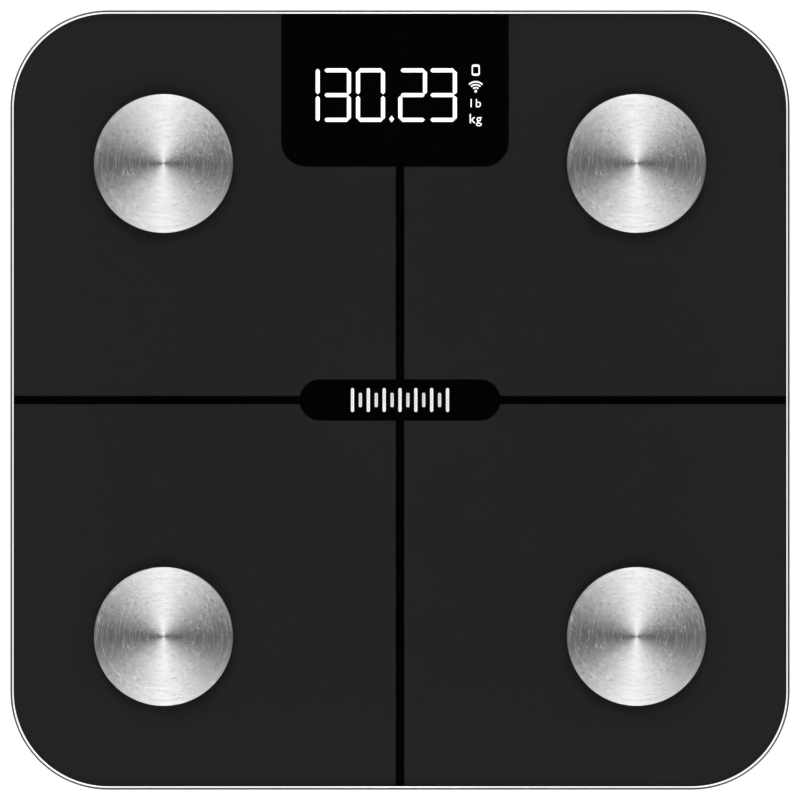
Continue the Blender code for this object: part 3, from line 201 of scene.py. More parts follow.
def makeStudio():
    world = bpy.data.worlds.new("studio")
    world.use_nodes = True
    tree = world.node_tree
    tree.nodes.clear()
    out = tree.nodes.new("ShaderNodeOutputWorld")
    place = tree.nodes.new("ShaderNodeTexCoord").outputs["Generated"]
    x, y, z = split(tree, place)
    height = calc(tree, "DEGREES", calc(tree, "ARCSINE", z))
    # 1 straight ahead and behind, 0 to the left and right
    turn = calc(tree, "ARCTAN2", calc(tree, "ABSOLUTE", x), calc(tree, "ABSOLUTE", y))
    ahead = calc(tree, "SUBTRACT", 1.0, calc(tree, "DIVIDE", turn, math.pi / 2))
    side = studio["sideLevel"]
    level = calc(tree, "MULTIPLY_ADD", ahead, studio["boxLevel"] - side, side)
    level = calc(tree, "ADD", level, ramp(tree, ahead, studio["beamFrom"], 1.0, 0.0, studio["beamLevel"]))
    level = calc(tree, "MULTIPLY", level, ramp(tree, ahead, 0.0, studio["dipTo"], studio["dipLevel"], 1.0))
    fadeIn, fadeOut = ramp(tree, height, *studio["boxFrom"]), ramp(tree, height, *studio["boxTo"], 1.0, 0.0)
    rest = ramp(tree, height, *studio["boxFrom"], studio["horizonLevel"], studio["zenithLevel"])
    level = calc(tree, "MULTIPLY_ADD", level, calc(tree, "MULTIPLY", fadeIn, fadeOut), rest)
    below = calc(tree, "LESS_THAN", z, 0.0)
    above = calc(tree, "MULTIPLY", level, calc(tree, "SUBTRACT", 1.0, below))
    lamp = vectorCalc(tree, "DOT_PRODUCT", place, Vector(studio["belowFrom"]).normalized())
    shine = ramp(tree, lamp, *studio["belowSpread"], studio["belowLevel"], studio["belowLamp"])
    light = addNode(tree, "ShaderNodeBackground", (calc(tree, "MULTIPLY_ADD", below, shine, above),))
    plain = addNode(tree, "ShaderNodeBackground", ((*studio["backdrop"], 1),))
    blendShaders(tree, tree.nodes.new("ShaderNodeLightPath").outputs["Is Camera Ray"], light, plain, out)
    bpy.context.scene.world = world


makeCamera()
makeFloor()
makeStudio()
print("studio: camera, floor and soft boxes")


def newGroup(name, inputs):
    # a finish that several materials share: a shade round 1, some roughness to add, and a height
    group = bpy.data.node_groups.new(name, "ShaderNodeTree")
    for label, value in inputs.items():
        kind = "NodeSocketVector" if value is None else "NodeSocketFloat"
        socket = group.interface.new_socket(label, in_out="INPUT", socket_type=kind)
        if value is not None:
            socket.default_value = value
    for label in ("Shade", "Dull", "Height"):
        group.interface.new_socket(label, in_out="OUTPUT", socket_type="NodeSocketFloat")
    return group, group.nodes.new("NodeGroupInput").outputs


def closeGroup(group, *values):
    addNode(group, "NodeGroupOutput", values)
    return group


def noise(tree, vector, scale, detail=3.0, roughness=0.5):
    inputs = {"Vector": vector, "Scale": scale, "Detail": detail, "Roughness": roughness}
    return addNode(tree, "ShaderNodeTexNoise", inputs).outputs["Fac"]


def mouldedGroup():
    # spark-eroded plastic: a fine pebble, slow mottling, and light handling marks
    group, given = newGroup("mouldedFinish", {"Vector": None, "Pebble": 2600.0, "Mottle": 0.12})
    place = given["Vector"]
    pebble = noise(group, place, given["Pebble"], 2.0)
    slow = calc(group, "SUBTRACT", noise(group, place, 22.0, 4.0), 0.5)
    marks = ramp(group, noise(group, place, 90.0, 5.0, 0.7), 0.56, 0.72)
    swing = calc(group, "MULTIPLY", slow, given["Mottle"])
    shade = calc(group, "ADD", 1.0, calc(group, "MULTIPLY", swing, 2.0))
    dull = calc(group, "MULTIPLY_ADD", marks, -0.08, calc(group, "MULTIPLY", pebble, 0.12))
    return closeGroup(group, shade, calc(group, "ADD", dull, swing), pebble)


def brushedGroup():
    # metal drawn or ground in one direction: long fine streaks along the vector's first axis
    group, given = newGroup("brushedFinish", {"Vector": None, "Streaks": 1.0})
    stretched = vectorCalc(group, "MULTIPLY", given["Vector"], (40.0, 2400.0, 2400.0))
    streak = noise(group, stretched, given["Streaks"], 3.0, 0.65)
    tarnish = noise(group, given["Vector"], 130.0, 4.0)
    spread = calc(group, "MULTIPLY_ADD", tarnish, 0.14, -0.1)
    shade = calc(group, "MULTIPLY_ADD", streak, 0.22, 0.84)
    return closeGroup(group, shade, calc(group, "MULTIPLY_ADD", streak, 0.1, spread), streak)


def objectPlace(tree):
    return tree.nodes.new("ShaderNodeTexCoord").outputs["Object"]


def tinted(tree, colour, shade):
    # the colour made lighter and darker by a value round 1
    return addNode(tree, "ShaderNodeVectorMath", {0: colour, "Scale": shade}, operation="SCALE").outputs[0]


def mixed(tree, factor, first, second):
    whole = [(*colour, 1) if isinstance(colour, tuple) else colour for colour in (first, second)]
    inputs = {"Factor": factor, "A": whole[0], "B": whole[1]}
    return addNode(tree, "ShaderNodeMix", inputs, data_type="RGBA").outputs["Result"]


def bumped(tree, shader, height, depth):
    bump = addNode(tree, "ShaderNodeBump", {"Strength": 1.0, "Distance": depth, "Height": height})
    dress(tree, shader, Normal=bump.outputs[0])


def finished(name, colour, roughness, group, depth, amounts, **inputs):
    # a material whose shade, roughness and relief come from one of the groups
    material, tree, shader = newMaterial(name, colour, roughness, **inputs)
    use = addNode(tree, "ShaderNodeGroup", {"Vector": objectPlace(tree), **amounts}, node_tree=group).outputs
    dull = calc(tree, "ADD", roughness, use["Dull"], clamp=True)
    dress(tree, shader, Base_Color=tinted(tree, colour, use["Shade"]), Roughness=dull)
    bumped(tree, shader, use["Height"], depth)
    return material


plastics = {  # colour, roughness, pebble scale, mottling, relief
    "blackAbs": ((0.014, 0.014, 0.0155), 0.44, 1500.0, 0.22, 0.07 * mm),
    "greyKey": ((0.20, 0.20, 0.21), 0.46, 2200.0, 0.10, 0.02 * mm),
    "greyRubber": ((0.11, 0.11, 0.115), 0.80, 1300.0, 0.20, 0.08 * mm),
    "foamBlack": ((0.030, 0.030, 0.030), 0.92, 1100.0, 0.30, 0.20 * mm),
    "whiteNylon": ((0.78, 0.78, 0.75), 0.48, 1500.0, 0.06, 0.02 * mm),
    "chipEpoxy": ((0.022, 0.022, 0.023), 0.55, 3800.0, 0.10, 0.02 * mm),
    "whiteWire": ((0.78, 0.78, 0.77), 0.42, 900.0, 0.05, 0.01 * mm),
    "redWire": ((0.55, 0.015, 0.012), 0.40, 900.0, 0.06, 0.01 * mm),
    "blackWire": ((0.018, 0.018, 0.018), 0.40, 900.0, 0.06, 0.01 * mm),
    "greyCable": ((0.26, 0.26, 0.27), 0.55, 1300.0, 0.08, 0.02 * mm),
    "diffuserSheet": ((0.34, 0.34, 0.35), 0.42, 700.0, 0.05, 0.01 * mm),
}
metals = {  # colour, roughness, streak scale, relief
    "zincSteel": ((0.60, 0.60, 0.57), 0.36, 1.0, 0.010 * mm),
    "stampedSteel": ((0.55, 0.56, 0.58), 0.40, 0.6, 0.012 * mm),
    "nickelSteel": ((0.66, 0.62, 0.56), 0.26, 0.8, 0.006 * mm),
}
finishes = {}
moulded, brushed = mouldedGroup(), brushedGroup()
for label, (colour, roughness, pebble, mottle, depth) in plastics.items():
    finishes[label] = finished(label, colour, roughness, moulded, depth, {"Pebble": pebble, "Mottle": mottle})
for label, (colour, roughness, streaks, depth) in metals.items():
    finishes[label] = finished(label, colour, roughness, brushed, depth, {"Streaks": streaks}, Metallic=1.0)

glassIor = 1.52


def glassMaterial():
    # clear tempered glass with faint finger smudges, which lets shadow rays through
    material, tree, shader = newMaterial("temperedGlass", (0.955, 0.985, 0.972), 0.02, IOR=glassIor)
    place = objectPlace(tree)
    smudge = ramp(tree, noise(tree, place, 26.0, 5.0, 0.65), 0.55, 0.78)
    fine = ramp(tree, noise(tree, place, 420.0, 2.0), 0.62, 0.75)
    dull = calc(tree, "MULTIPLY_ADD", fine, 0.015, calc(tree, "MULTIPLY_ADD", smudge, 0.045, 0.012))
    dress(tree, shader, Transmission_Weight=1.0, Roughness=dull)
    clear = tree.nodes.new("ShaderNodeBsdfTransparent")
    shadow = tree.nodes.new("ShaderNodeLightPath").outputs["Is Shadow Ray"]
    blendShaders(tree, shadow, shader, clear, tree.nodes["Material Output"])
    return material


def groundGlassPaintedShadeMaterial():
    # the glass's edge is ground before tempering, so it is matt; its tint is darkened with painted shade, for the
    # grey line along the edge
    material, tree, shader = newMaterial("groundGlassPaintedShade", (0.19, 0.22, 0.21), 0.38, IOR=glassIor)
    grain = noise(tree, objectPlace(tree), 2400.0, 3.0)
    dress(tree, shader, Transmission_Weight=1.0, Roughness=calc(tree, "MULTIPLY_ADD", grain, 0.2, 0.28))
    bumped(tree, shader, grain, 0.01 * mm)
    return material


def printMaterial(name, level, speck, glow=0.0):
    # screen-printed ink in contact with the glass, so it has no gloss of its own; a glow above 0 is a painted glow,
    # on ink that is no lamp
    material, tree, shader = newMaterial(name, (level,) * 3, 0.6, Specular_IOR_Level=0.0)
    grain = noise(tree, objectPlace(tree), 3200.0, 2.0)
    ink = tinted(tree, (level,) * 3, calc(tree, "MULTIPLY_ADD", grain, speck, 1.0 - speck / 2))
    dress(tree, shader, Base_Color=ink, Emission_Color=(1, 1, 1, 1), Emission_Strength=glow)
    return material


def lampMaterial(name, level):
    # a lit segment: the diffuser sheet makes it a touch uneven
    material, tree, shader = newMaterial(name, (0.8, 0.8, 0.8), 0.5, Specular_IOR_Level=0.0)
    glow = calc(tree, "MULTIPLY_ADD", noise(tree, objectPlace(tree), 700.0, 1.0), 0.1, 0.95)
    dress(tree, shader, Emission_Color=tinted(tree, (1.0, 1.0, 0.99), glow), Emission_Strength=level)
    return material


electrode = {
    "radius": 25.0 * mm,
    "round": 0.35 * mm,
    "crown": 0.03 * mm,
    "offset": 84.9 * mm,
    "stud": 2.0 * mm,
    "chamfer": 0.3 * mm,  # at the stud's end
    "colour": (0.66, 0.66, 0.665),
    "roughness": 0.30,
    "anisotropic": 0.97,
    "ringScale": 2300.0,
    "ringTurn": 2.6,  # how quickly a ring changes as it goes round
    "stray": 3.4,  # how far the brush strokes turn from true circles, in radians
    "ringDepth": 0.008 * mm,
}


def electrodeMaterial():
    # stainless steel turned under a brush, with fine rings round the middle of each disc
    steel, rough, offset = electrode["colour"], electrode["roughness"], electrode["offset"]
    anisotropic = electrode["anisotropic"]
    material, tree, shader = newMaterial("turnedSteel", steel, rough, Metallic=1.0, Anisotropic=anisotropic)
    place = objectPlace(tree)
    middle = vectorCalc(tree, "MULTIPLY", vectorCalc(tree, "SIGN", place), (offset, offset, 0))
    flat = vectorCalc(tree, "MULTIPLY", vectorCalc(tree, "SUBTRACT", place, middle), (1, 1, 0))
    outward = vectorCalc(tree, "NORMALIZE", flat)
    away = calc(tree, "MULTIPLY", vectorCalc(tree, "LENGTH", flat), electrode["ringScale"])
    turned = [calc(tree, "MULTIPLY", part, electrode["ringTurn"]) for part in list(split(tree, outward))[:2]]
    rings = addNode(tree, "ShaderNodeCombineXYZ", (away, *turned)).outputs[0]
    fine, broad = noise(tree, rings, 1.0, 4.0, 0.7), noise(tree, rings, 0.22, 2.0)
    both = calc(tree, "MULTIPLY_ADD", fine, 0.6, calc(tree, "MULTIPLY", broad, 0.4))
    # in some rings the strokes stray more, which shows only where the light changes quickly with the angle
    strands = calc(tree, "SUBTRACT", noise(tree, rings, 5.0, 1.0), 0.5)
    loose = ramp(tree, noise(tree, rings, 0.85, 1.0), 0.45, 0.57, 0.0, electrode["stray"])
    inputs = {"Vector": outward, "Angle": calc(tree, "MULTIPLY", strands, loose)}
    strokes = addNode(tree, "ShaderNodeVectorRotate", inputs, rotation_type="Z_AXIS").outputs[0]
    colour = tinted(tree, steel, calc(tree, "MULTIPLY_ADD", both, 0.24, 0.88))
    dull = calc(tree, "MULTIPLY_ADD", both, 0.16, rough - 0.08)
    dress(tree, shader, Tangent=strokes, Base_Color=colour, Roughness=dull)
    bumped(tree, shader, fine, electrode["ringDepth"])
    return material


def boardMaterial():
    # green solder mask over copper: traces show as paler lines, pads as tinned dots
    mask, copper, tin = (0.008, 0.10, 0.04), (0.02, 0.19, 0.08), (0.72, 0.72, 0.70)
    material, tree, shader = newMaterial("solderMask", mask, 0.32)
    inputs = {"Vector": objectPlace(tree), "Scale": 260.0}
    cells = addNode(tree, "ShaderNodeTexVoronoi", inputs, distance="CHEBYCHEV").outputs["Distance"]
    trace, pads = ramp(tree, cells, 0.44, 0.50), ramp(tree, cells, 0.10, 0.07)
    colour = mixed(tree, pads, mixed(tree, trace, mask, copper), tin)
    dull = calc(tree, "MULTIPLY_ADD", pads, 0.08, 0.30)
    dress(tree, shader, Base_Color=colour, Metallic=pads, Roughness=dull)
    bumped(tree, shader, trace, 0.03 * mm)
    return material


def batteryMaterial():
    # a plain green sleeve with a bright band at each end, and bare steel at the ends
    green, gold, steel = (0.025, 0.15, 0.07), (0.55, 0.50, 0.36), (0.66, 0.66, 0.66)
    material, tree, shader = newMaterial("batterySleeve", green, 0.28)
    along = split(tree, objectPlace(tree))[1]
    away = calc(tree, "ABSOLUTE", calc(tree, "SUBTRACT", along, centred("battery_1")[0].y))
    bare = ramp(tree, away, 21.1 * mm, 21.2 * mm)
    band = calc(tree, "MULTIPLY", ramp(tree, away, 12.0 * mm, 12.1 * mm), 0.85)
    grain = noise(tree, objectPlace(tree), 500.0, 3.0)
    colour = mixed(tree, bare, mixed(tree, band, green, gold), steel)
    colour = tinted(tree, colour, calc(tree, "MULTIPLY_ADD", grain, 0.08, 0.96))
    metal, dull = calc(tree, "MAXIMUM", bare, band), calc(tree, "MULTIPLY_ADD", grain, 0.12, 0.22)
    dress(tree, shader, Base_Color=colour, Metallic=metal, Roughness=dull)
    return material


def labelMaterial():
    # silver polyester with a thin printed frame and rule lines, and nothing written on it
    silver, ink = (0.62, 0.62, 0.63), (0.02, 0.02, 0.02)
    margin, frameHalf, ruleHalf, pitchHalf = 2.0 * mm, 0.14 * mm, 0.07 * mm, 2.6 * mm
    material, tree, shader = newMaterial("silverLabel", silver, 0.38)
    middle, half = centred("rating_label")
    across, along = list(split(tree, objectPlace(tree)))[:2]
    x = calc(tree, "ABSOLUTE", calc(tree, "SUBTRACT", across, middle.x))
    y = calc(tree, "SUBTRACT", along, middle.y)
    edgeX = calc(tree, "SUBTRACT", half.x - margin, x)
    edgeY = calc(tree, "SUBTRACT", half.y - margin, calc(tree, "ABSOLUTE", y))
    inside = calc(tree, "MINIMUM", edgeX, edgeY)
    border = calc(tree, "LESS_THAN", calc(tree, "ABSOLUTE", inside), frameHalf)
    rows = calc(tree, "LESS_THAN", calc(tree, "ABSOLUTE", calc(tree, "WRAP", y, -pitchHalf, pitchHalf)), ruleHalf)
    rule = calc(tree, "MULTIPLY", rows, calc(tree, "GREATER_THAN", inside, 0.0))
    printed = calc(tree, "MAXIMUM", border, calc(tree, "MULTIPLY", rule, 0.5))
    grain = noise(tree, objectPlace(tree), 900.0, 3.0)
    sheen = tinted(tree, silver, calc(tree, "MULTIPLY_ADD", grain, 0.12, 0.94))
    metal = calc(tree, "MULTIPLY", calc(tree, "SUBTRACT", 1.0, printed), 0.7)
    dull = calc(tree, "MULTIPLY_ADD", grain, 0.1, 0.32)
    dress(tree, shader, Base_Color=mixed(tree, printed, sheen, ink), Metallic=metal, Roughness=dull)
    return material


finishes["glass"] = glassMaterial()
# the ground edge's dark tint is painted shade
finishes["groundGlassPaintedShade"] = groundGlassPaintedShadeMaterial()
finishes["printBlack"] = printMaterial("printBlack", 0.002, 0.1)
finishes["printField"] = printMaterial("printField", 0.0440, 0.05)
# the white print gets a painted glow, so that it reads white although it is no lamp
finishes["printWhite"] = printMaterial("printWhite", 0.88, 0.03, glow=0.4)
finishes["lamp"] = lampMaterial("litSegment", 0.98)
finishes["turnedSteel"] = electrodeMaterial()
finishes["board"] = boardMaterial()
finishes["battery"] = batteryMaterial()
finishes["label"] = labelMaterial()
print("materials:", len(finishes))


def addPiece(bm, name, body, slot, *materials, sharp=32.0):
    # makes a finished, smooth-shaded object that rides on a body
    bmesh.ops.remove_doubles(bm, verts=bm.verts, dist=1e-7)
    mesh = plainMesh(bm, name)
    mesh.shade_smooth()
    mesh.set_sharp_from_angle(angle=math.radians(sharp))
    for material in materials:
        mesh.materials.append(finishes[material])
    piece = addToScene(name, mesh)
    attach(piece, body)
    return piece


def arc(x, y, radius, start, end, steps):
    # points on an arc, with its angles in degrees
    angles = [math.radians(start + (end - start) * i / steps) for i in range(steps + 1)]
    return [(x + radius * math.cos(a), y + radius * math.sin(a)) for a in angles]


def rounded(x, z, radius, start, end, steps):
    # the arc that rounds the corner at x, z of a profile
    middle = math.radians((start + end) / 2)
    cx = x - math.copysign(radius, math.cos(middle))
    return arc(cx, z - math.copysign(radius, math.sin(middle)), radius, start, end, steps)


def circle(x, y, radius, steps):
    angles = [2 * math.pi * i / steps for i in range(steps)]
    return [(x + radius * math.cos(a), y + radius * math.sin(a)) for a in angles]


def square(halfX, halfY, corner, x=0.0, y=0.0, steps=10):
    # a rounded rectangle as a function of how far it is drawn inwards
    def outline(inset=0.0):
        radius = max(corner - inset, 0.02 * mm)
        points = []
        for quarter, (sx, sy) in enumerate(((1, 1), (-1, 1), (-1, -1), (1, -1))):
            for step in range(steps + 1):
                angle = math.radians(90 * (quarter + step / steps))
                px = x + sx * (halfX - inset - radius) + radius * math.cos(angle)
                py = y + sy * (halfY - inset - radius) + radius * math.sin(angle)
                points.append((px, py))
        return points

    return outline


def disc(radius, x=0.0, y=0.0, steps=48):
    return lambda inset=0.0: circle(x, y, radius - inset, steps)


def addRing(bm, outline, inset, z):
    return [bm.verts.new((x, y, z)) for x, y in outline(inset)]


def joinRings(bm, first, second):
    count = len(first)
    for i in range(count):
        j = (i + 1) % count
        bm.faces.new((first[i], first[j], second[j], second[i]))


def fillCap(bm, loops, up):
    # one flat face through an outer loop and its holes
    if len(loops) == 1:
        bm.faces.new(loops[0] if up else loops[0][::-1])
        return
    edges = []
    for loop in loops:
        for a, b in zip(loop, loop[1:] + loop[:1]):
            edges.append(bm.edges.get((a, b)) or bm.edges.new((a, b)))
    filled = bmesh.ops.triangle_fill(bm, edges=edges, use_beauty=True, use_dissolve=False)
    for face in filled["geom"]:
        if isinstance(face, bmesh.types.BMFace):
            face.normal_update()
            if (face.normal.z > 0) != up:
                face.normal_flip()


def slab(outer, low, high, edge=0.0, holes=(), edgeLow=None, steps=4, into=None):
    # a flat piece with rounded edges at its top and bottom, and at its holes
    bm = bmesh.new() if into is None else into
    edgeLow = edge if edgeLow is None else edgeLow
    quarter = [math.pi / 2 * step / steps for step in range(steps + 1)]
    levels = [(0.0, low)]
    if edgeLow:  # the extra ring keeps the flat face's shading flat
        levels = [(edgeLow * 1.15, low)]
        levels += [(edgeLow * (1 - math.sin(a)), low + edgeLow * (1 - math.cos(a))) for a in quarter]
    if edge:
        levels += [(edge * (1 - math.cos(a)), high - edge * (1 - math.sin(a))) for a in quarter]
    levels.append((edge * 1.15, high))
    bottoms, tops = [], []
    for outline, way in [(outer, 1), *((hole, -1) for hole in holes)]:
        rings = [addRing(bm, outline, way * inset, z) for inset, z in levels]
        for pair in zip(rings, rings[1:]):
            joinRings(bm, *pair[::way])
        bottoms.append(rings[0])
        tops.append(rings[-1])
    fillCap(bm, bottoms, False)
    fillCap(bm, tops, True)
    return bm


def turned(profile, x=0.0, y=0.0, steps=72):
    # a solid of revolution about Z, its profile given from the top of the axis round to the bottom
    bm = bmesh.new()
    rings = []
    for radius, z in profile:
        points = [(x, y)] if radius < 1e-9 else circle(x, y, radius, steps)
        rings.append([bm.verts.new((*point, z)) for point in points])
    for upper, lower in zip(rings, rings[1:]):
        for i in range(steps):
            j = (i + 1) % steps
            if len(upper) == 1:
                bm.faces.new((upper[0], lower[i], lower[j]))
            elif len(lower) == 1:
                bm.faces.new((upper[i], lower[0], upper[j]))
            else:
                bm.faces.new((upper[i], lower[i], lower[j], upper[j]))
    return bm


def applied(thing):
    # the mesh that an object's modifiers make, after which the object goes
    bpy.context.view_layer.update()
    mesh = bpy.data.meshes.new_from_object(thing.evaluated_get(bpy.context.evaluated_depsgraph_get()))
    bpy.data.objects.remove(thing)
    return mesh


def editable(mesh):
    bm = bmesh.new()
    bm.from_mesh(mesh)
    return bm


def carved(bm, name, *cuts):
    # joins or cuts away each object, or each collection of them, in turn
    body = addToScene(name, plainMesh(bm, name))
    for operation, other in cuts:
        cut = body.modifiers.new(operation, "BOOLEAN")
        cut.operation, cut.solver = operation, "EXACT"
        if isinstance(other, bpy.types.Collection):
            cut.operand_type, cut.collection = "COLLECTION", other
        else:
            cut.object = other
    mesh = applied(body)
    for operation, other in cuts:
        if isinstance(other, bpy.types.Collection):
            for helper in list(other.objects):
                bpy.data.objects.remove(helper)
            bpy.data.collections.remove(other)
        else:
            bpy.data.objects.remove(other)
    return editable(mesh)


def helpers(name):
    group = bpy.data.collections.new(name)
    bpy.context.scene.collection.children.link(group)
    return group


def addHelper(group, bm):
    bmesh.ops.remove_doubles(bm, verts=bm.verts, dist=1e-7)
    bmesh.ops.recalc_face_normals(bm, faces=bm.faces)
    group.objects.link(bpy.data.objects.new(group.name, plainMesh(bm, group.name)))


def addBlock(group, halfX, halfY, low, high, x=0.0, y=0.0, corner=0.3 * mm, edge=0.0, edgeLow=0.0):
    addHelper(group, slab(square(halfX, halfY, corner, x, y, 4), low, high, edge, edgeLow=edgeLow, steps=3))


def spreadCopies(name, shape, material, count, start=(0, 0, 0), offset=(0, 0, 0), turn=0.0):
    # copies of a small mesh in a row or turned round a point, made by Geometry Nodes and kept as plain mesh
    tree = bpy.data.node_groups.new(name, "GeometryNodeTree")
    tree.interface.new_socket("Geometry", in_out="OUTPUT", socket_type="NodeSocketGeometry")
    kinds = {"Geometry": "Geometry", "Count": "Int", "Start": "Vector", "Offset": "Vector", "Turn": "Float"}
    keys = {}
    for label, kind in kinds.items():
        keys[label] = tree.interface.new_socket(label, in_out="INPUT", socket_type="NodeSocket" + kind).identifier
    given = tree.nodes.new("NodeGroupInput").outputs
    inputs = {"Count": given["Count"], "Start Location": given["Start"], "Offset": given["Offset"]}
    line = addNode(tree, "GeometryNodeMeshLine", inputs)
    index = tree.nodes.new("GeometryNodeInputIndex").outputs[0]
    angle = addNode(tree, "ShaderNodeCombineXYZ", {"Z": calc(tree, "MULTIPLY", index, given["Turn"])})
    inputs = {"Points": line.outputs[0], "Instance": given["Geometry"], "Rotation": angle.outputs[0]}
    copies = addNode(tree, "GeometryNodeInstanceOnPoints", inputs)
    real = addNode(tree, "GeometryNodeRealizeInstances", (copies.outputs[0],))
    inputs = {"Geometry": real.outputs[0], "Material": finishes[material]}
    addNode(tree, "NodeGroupOutput", (addNode(tree, "GeometryNodeSetMaterial", inputs).outputs[0],))
    source = addToScene(name, shape)
    modifier = source.modifiers.new(name, "NODES")
    modifier.node_group = tree
    values = {"Count": count, "Start": Vector(start), "Offset": Vector(offset), "Turn": turn}
    for label, value in values.items():
        modifier[keys[label]] = value
    return applied(source)


glassLow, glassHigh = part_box("glass_platform")
platform = {
    "half": glassHigh.x,
    "corner": 35.2 * mm,
    "arris": 0.95 * mm,
    "groundFrom": 0.97,  # faces whose normals lean out further than this have the ground finish, with its painted shade
    "studHole": 3.0 * mm,
    "printMargin": 0.98 * mm,
    "cornerSteps": 32,
}
printHalf, printCorner = platform["half"] - platform["printMargin"], platform["corner"] - platform["printMargin"]
studHoles = {}
for corner, (sx, sy) in cornerSigns.items():
    studHoles[corner] = disc(platform["studHole"], sx * electrode["offset"], sy * electrode["offset"], 24)


def makeGlass():
    edge = square(platform["half"], platform["half"], platform["corner"], steps=platform["cornerSteps"])
    bm = slab(edge, glassLow.z, glassHigh.z, platform["arris"], studHoles.values(), steps=6)
    # the edge faces get the matt ground finish, whose darker tint is painted shade
    for face in bm.faces:
        middle = face.calc_center_median()
        away = max(abs(middle.x), abs(middle.y))
        if abs(face.normal.z) < platform["groundFrom"] and away > electrode["offset"] + electrode["radius"]:
            face.material_index = 1
    glass = addPiece(bm, "glassPlatform", "scale", "tempered_glass", "glass", "groundGlassPaintedShade")
    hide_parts("glass_platform")


# the print is a black sheet with four grey fields, and everything lit or white sits in the black
artwork = inMm(
    line=3.1,  # the black cross between the fields
    capsule=(36.2, 7.45),  # half length and radius of the black capsule in the middle
    window=(-42.75, 39.15),
    windowLow=83.9,
    windowCorner=9.0,
    fieldTop=0.04,  # above the underside of the glass, so that light meets no air there
    sheetTop=0.02,
    litTop=0.06,
)
inkLow = glassLow.z - 0.02 * mm
litTop = glassLow.z + artwork["litTop"]


def fieldOutline(sx, sy):
    # one field, drawn as if it were on the right and at the front, and then mirrored
    line = artwork["line"] / 2
    reach, radius = artwork["capsule"]
    middle = printHalf - printCorner
    points = [(line, radius), *arc(reach - radius, 0, radius, 90, math.degrees(math.asin(line / radius)), 16)]
    points += [(printHalf, line), *arc(middle, middle, printCorner, 0, 90, platform["cornerSteps"])]
    if sy > 0:
        window = artwork["window"][1] if sx > 0 else -artwork["window"][0]
        bend, low = artwork["windowCorner"], artwork["windowLow"]
        points += [(window, printHalf), *arc(window - bend, low + bend, bend, 0, -90, 16), (line, low)]
    else:
        points.append((line, printHalf))
    points = [(sx * x, sy * y) for x, y in points]
    return points if sx * sy > 0 else points[::-1]


def makePrint():
    edge = square(printHalf, printHalf, printCorner, steps=platform["cornerSteps"])
    bm = slab(edge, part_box("printed_film")[0].z, glassLow.z + artwork["sheetTop"], 0.0, studHoles.values())
    sheet = addPiece(bm, "printedSheet", "scale", "black_print", "printBlack")
    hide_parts("printed_film")
    for corner, signs in cornerSigns.items():
        points = fieldOutline(*signs)
        high = glassLow.z + artwork["fieldTop"]
        bm = slab(lambda inset=0.0, points=points: points, inkLow, high, 0.0, [studHoles[corner]])
        addPiece(bm, f"printedField_{corner}", "scale", "black_print", "printField")


makeGlass()
makePrint()
print("platform: glass and its print")

digits = inMm(
    left=(-28.2, -16.0, -0.8, 9.9),
    right=(-17.45, -5.2, 9.9, 20.65),
    shown=("3", "0", "2", "3"),
    oneAt=-29.6,
    rows=(118.6, 109.7, 100.8),
    width=1.44,
    inset=1.08,  # a cell's side to the tip of its flat bars
    split=0.17,
    gap=0.40,  # from the middle row to the tips of the upright bars
    blunt=0.12,
    point=(-3.0, 101.1),
    pointHalf=(0.9, 1.25),
)
segmentsOf = {"3": "abcdg", "0": "abcdef", "2": "abged"}
icons = {
    "column": 27.25 * mm,
    "stroke": 0.50 * mm,
    "phone": (118.7 * mm, 2.9 * mm, 4.0 * mm),
    "phoneFrame": (0.45 * mm, 0.75 * mm),
    "waves": (111.1 * mm, (1.3 * mm, 2.35 * mm, 3.4 * mm)),
    "units": {"lb": (106.8 * mm, 3.5 * mm, 1.45), "kg": (100.7 * mm, 3.9 * mm, 1.1)},  # place, size, letter spacing
    "capitals": 1.25,  # a font's size against the height that is wanted
}
ticks = inMm(count=13, pitch=2.85, width=1.15, tall=8.6, short=5.2)


def barOutline(start, end):
    # a bar between two points with mitred, slightly blunted ends
    start, end = Vector(start), Vector(end)
    along = (end - start).normalized()
    across = Vector((-along.y, along.x))
    half, blunt = digits["width"] / 2, digits["blunt"]
    shoulder = along * (half - blunt)
    points = (
        start - across * blunt,
        start + shoulder - across * half,
        end - shoulder - across * half,
        end - across * blunt,
        end + across * blunt,
        end - shoulder + across * half,
        start + shoulder + across * half,
        start + across * blunt,
    )
    return [tuple(point) for point in points]


def addLit(bm, points):
    # one lit shape, sunk into the glass from behind
    area = sum(ax * by - bx * ay for (ax, ay), (bx, by) in zip(points, points[1:] + points[:1]))
    outline = points[::-1] if area < 0 else points
    slab(lambda inset=0.0: outline, inkLow, litTop, into=bm)


def makeDigits():
    top, middle, bottom = digits["rows"]
    split, gap, reach = digits["split"], digits["gap"], digits["width"] * 0.45
    upper, lower = (middle + gap, top - split), (bottom + split, middle - gap)
    bm = bmesh.new()
    for low, high in ((upper[0], upper[1] + reach), (lower[0] - reach, lower[1])):
        addLit(bm, barOutline((digits["oneAt"], low), (digits["oneAt"], high)))
    for left, right, shown in zip(digits["left"], digits["right"], digits["shown"]):
        west, east = left + digits["inset"], right - digits["inset"]
        bars = {"a": ((west, top), (east, top)), "g": ((west, middle), (east, middle))}
        bars["d"] = ((west, bottom), (east, bottom))
        for name, x, (low, high) in (
            ("f", west - split, upper), ("b", east + split, upper),
            ("e", west - split, lower), ("c", east + split, lower),
        ):  # fmt: skip
            bars[name] = ((x, low), (x, high))
        for name in segmentsOf[shown]:
            addLit(bm, barOutline(*bars[name]))
    (x, y), (wide, tall) = digits["point"], digits["pointHalf"]
    addLit(bm, [(x - wide, y), (x, y - tall), (x + wide, y), (x, y + tall)])
    addPiece(bm, "litDigits", "scale", "smoked_diffuser", "lamp")


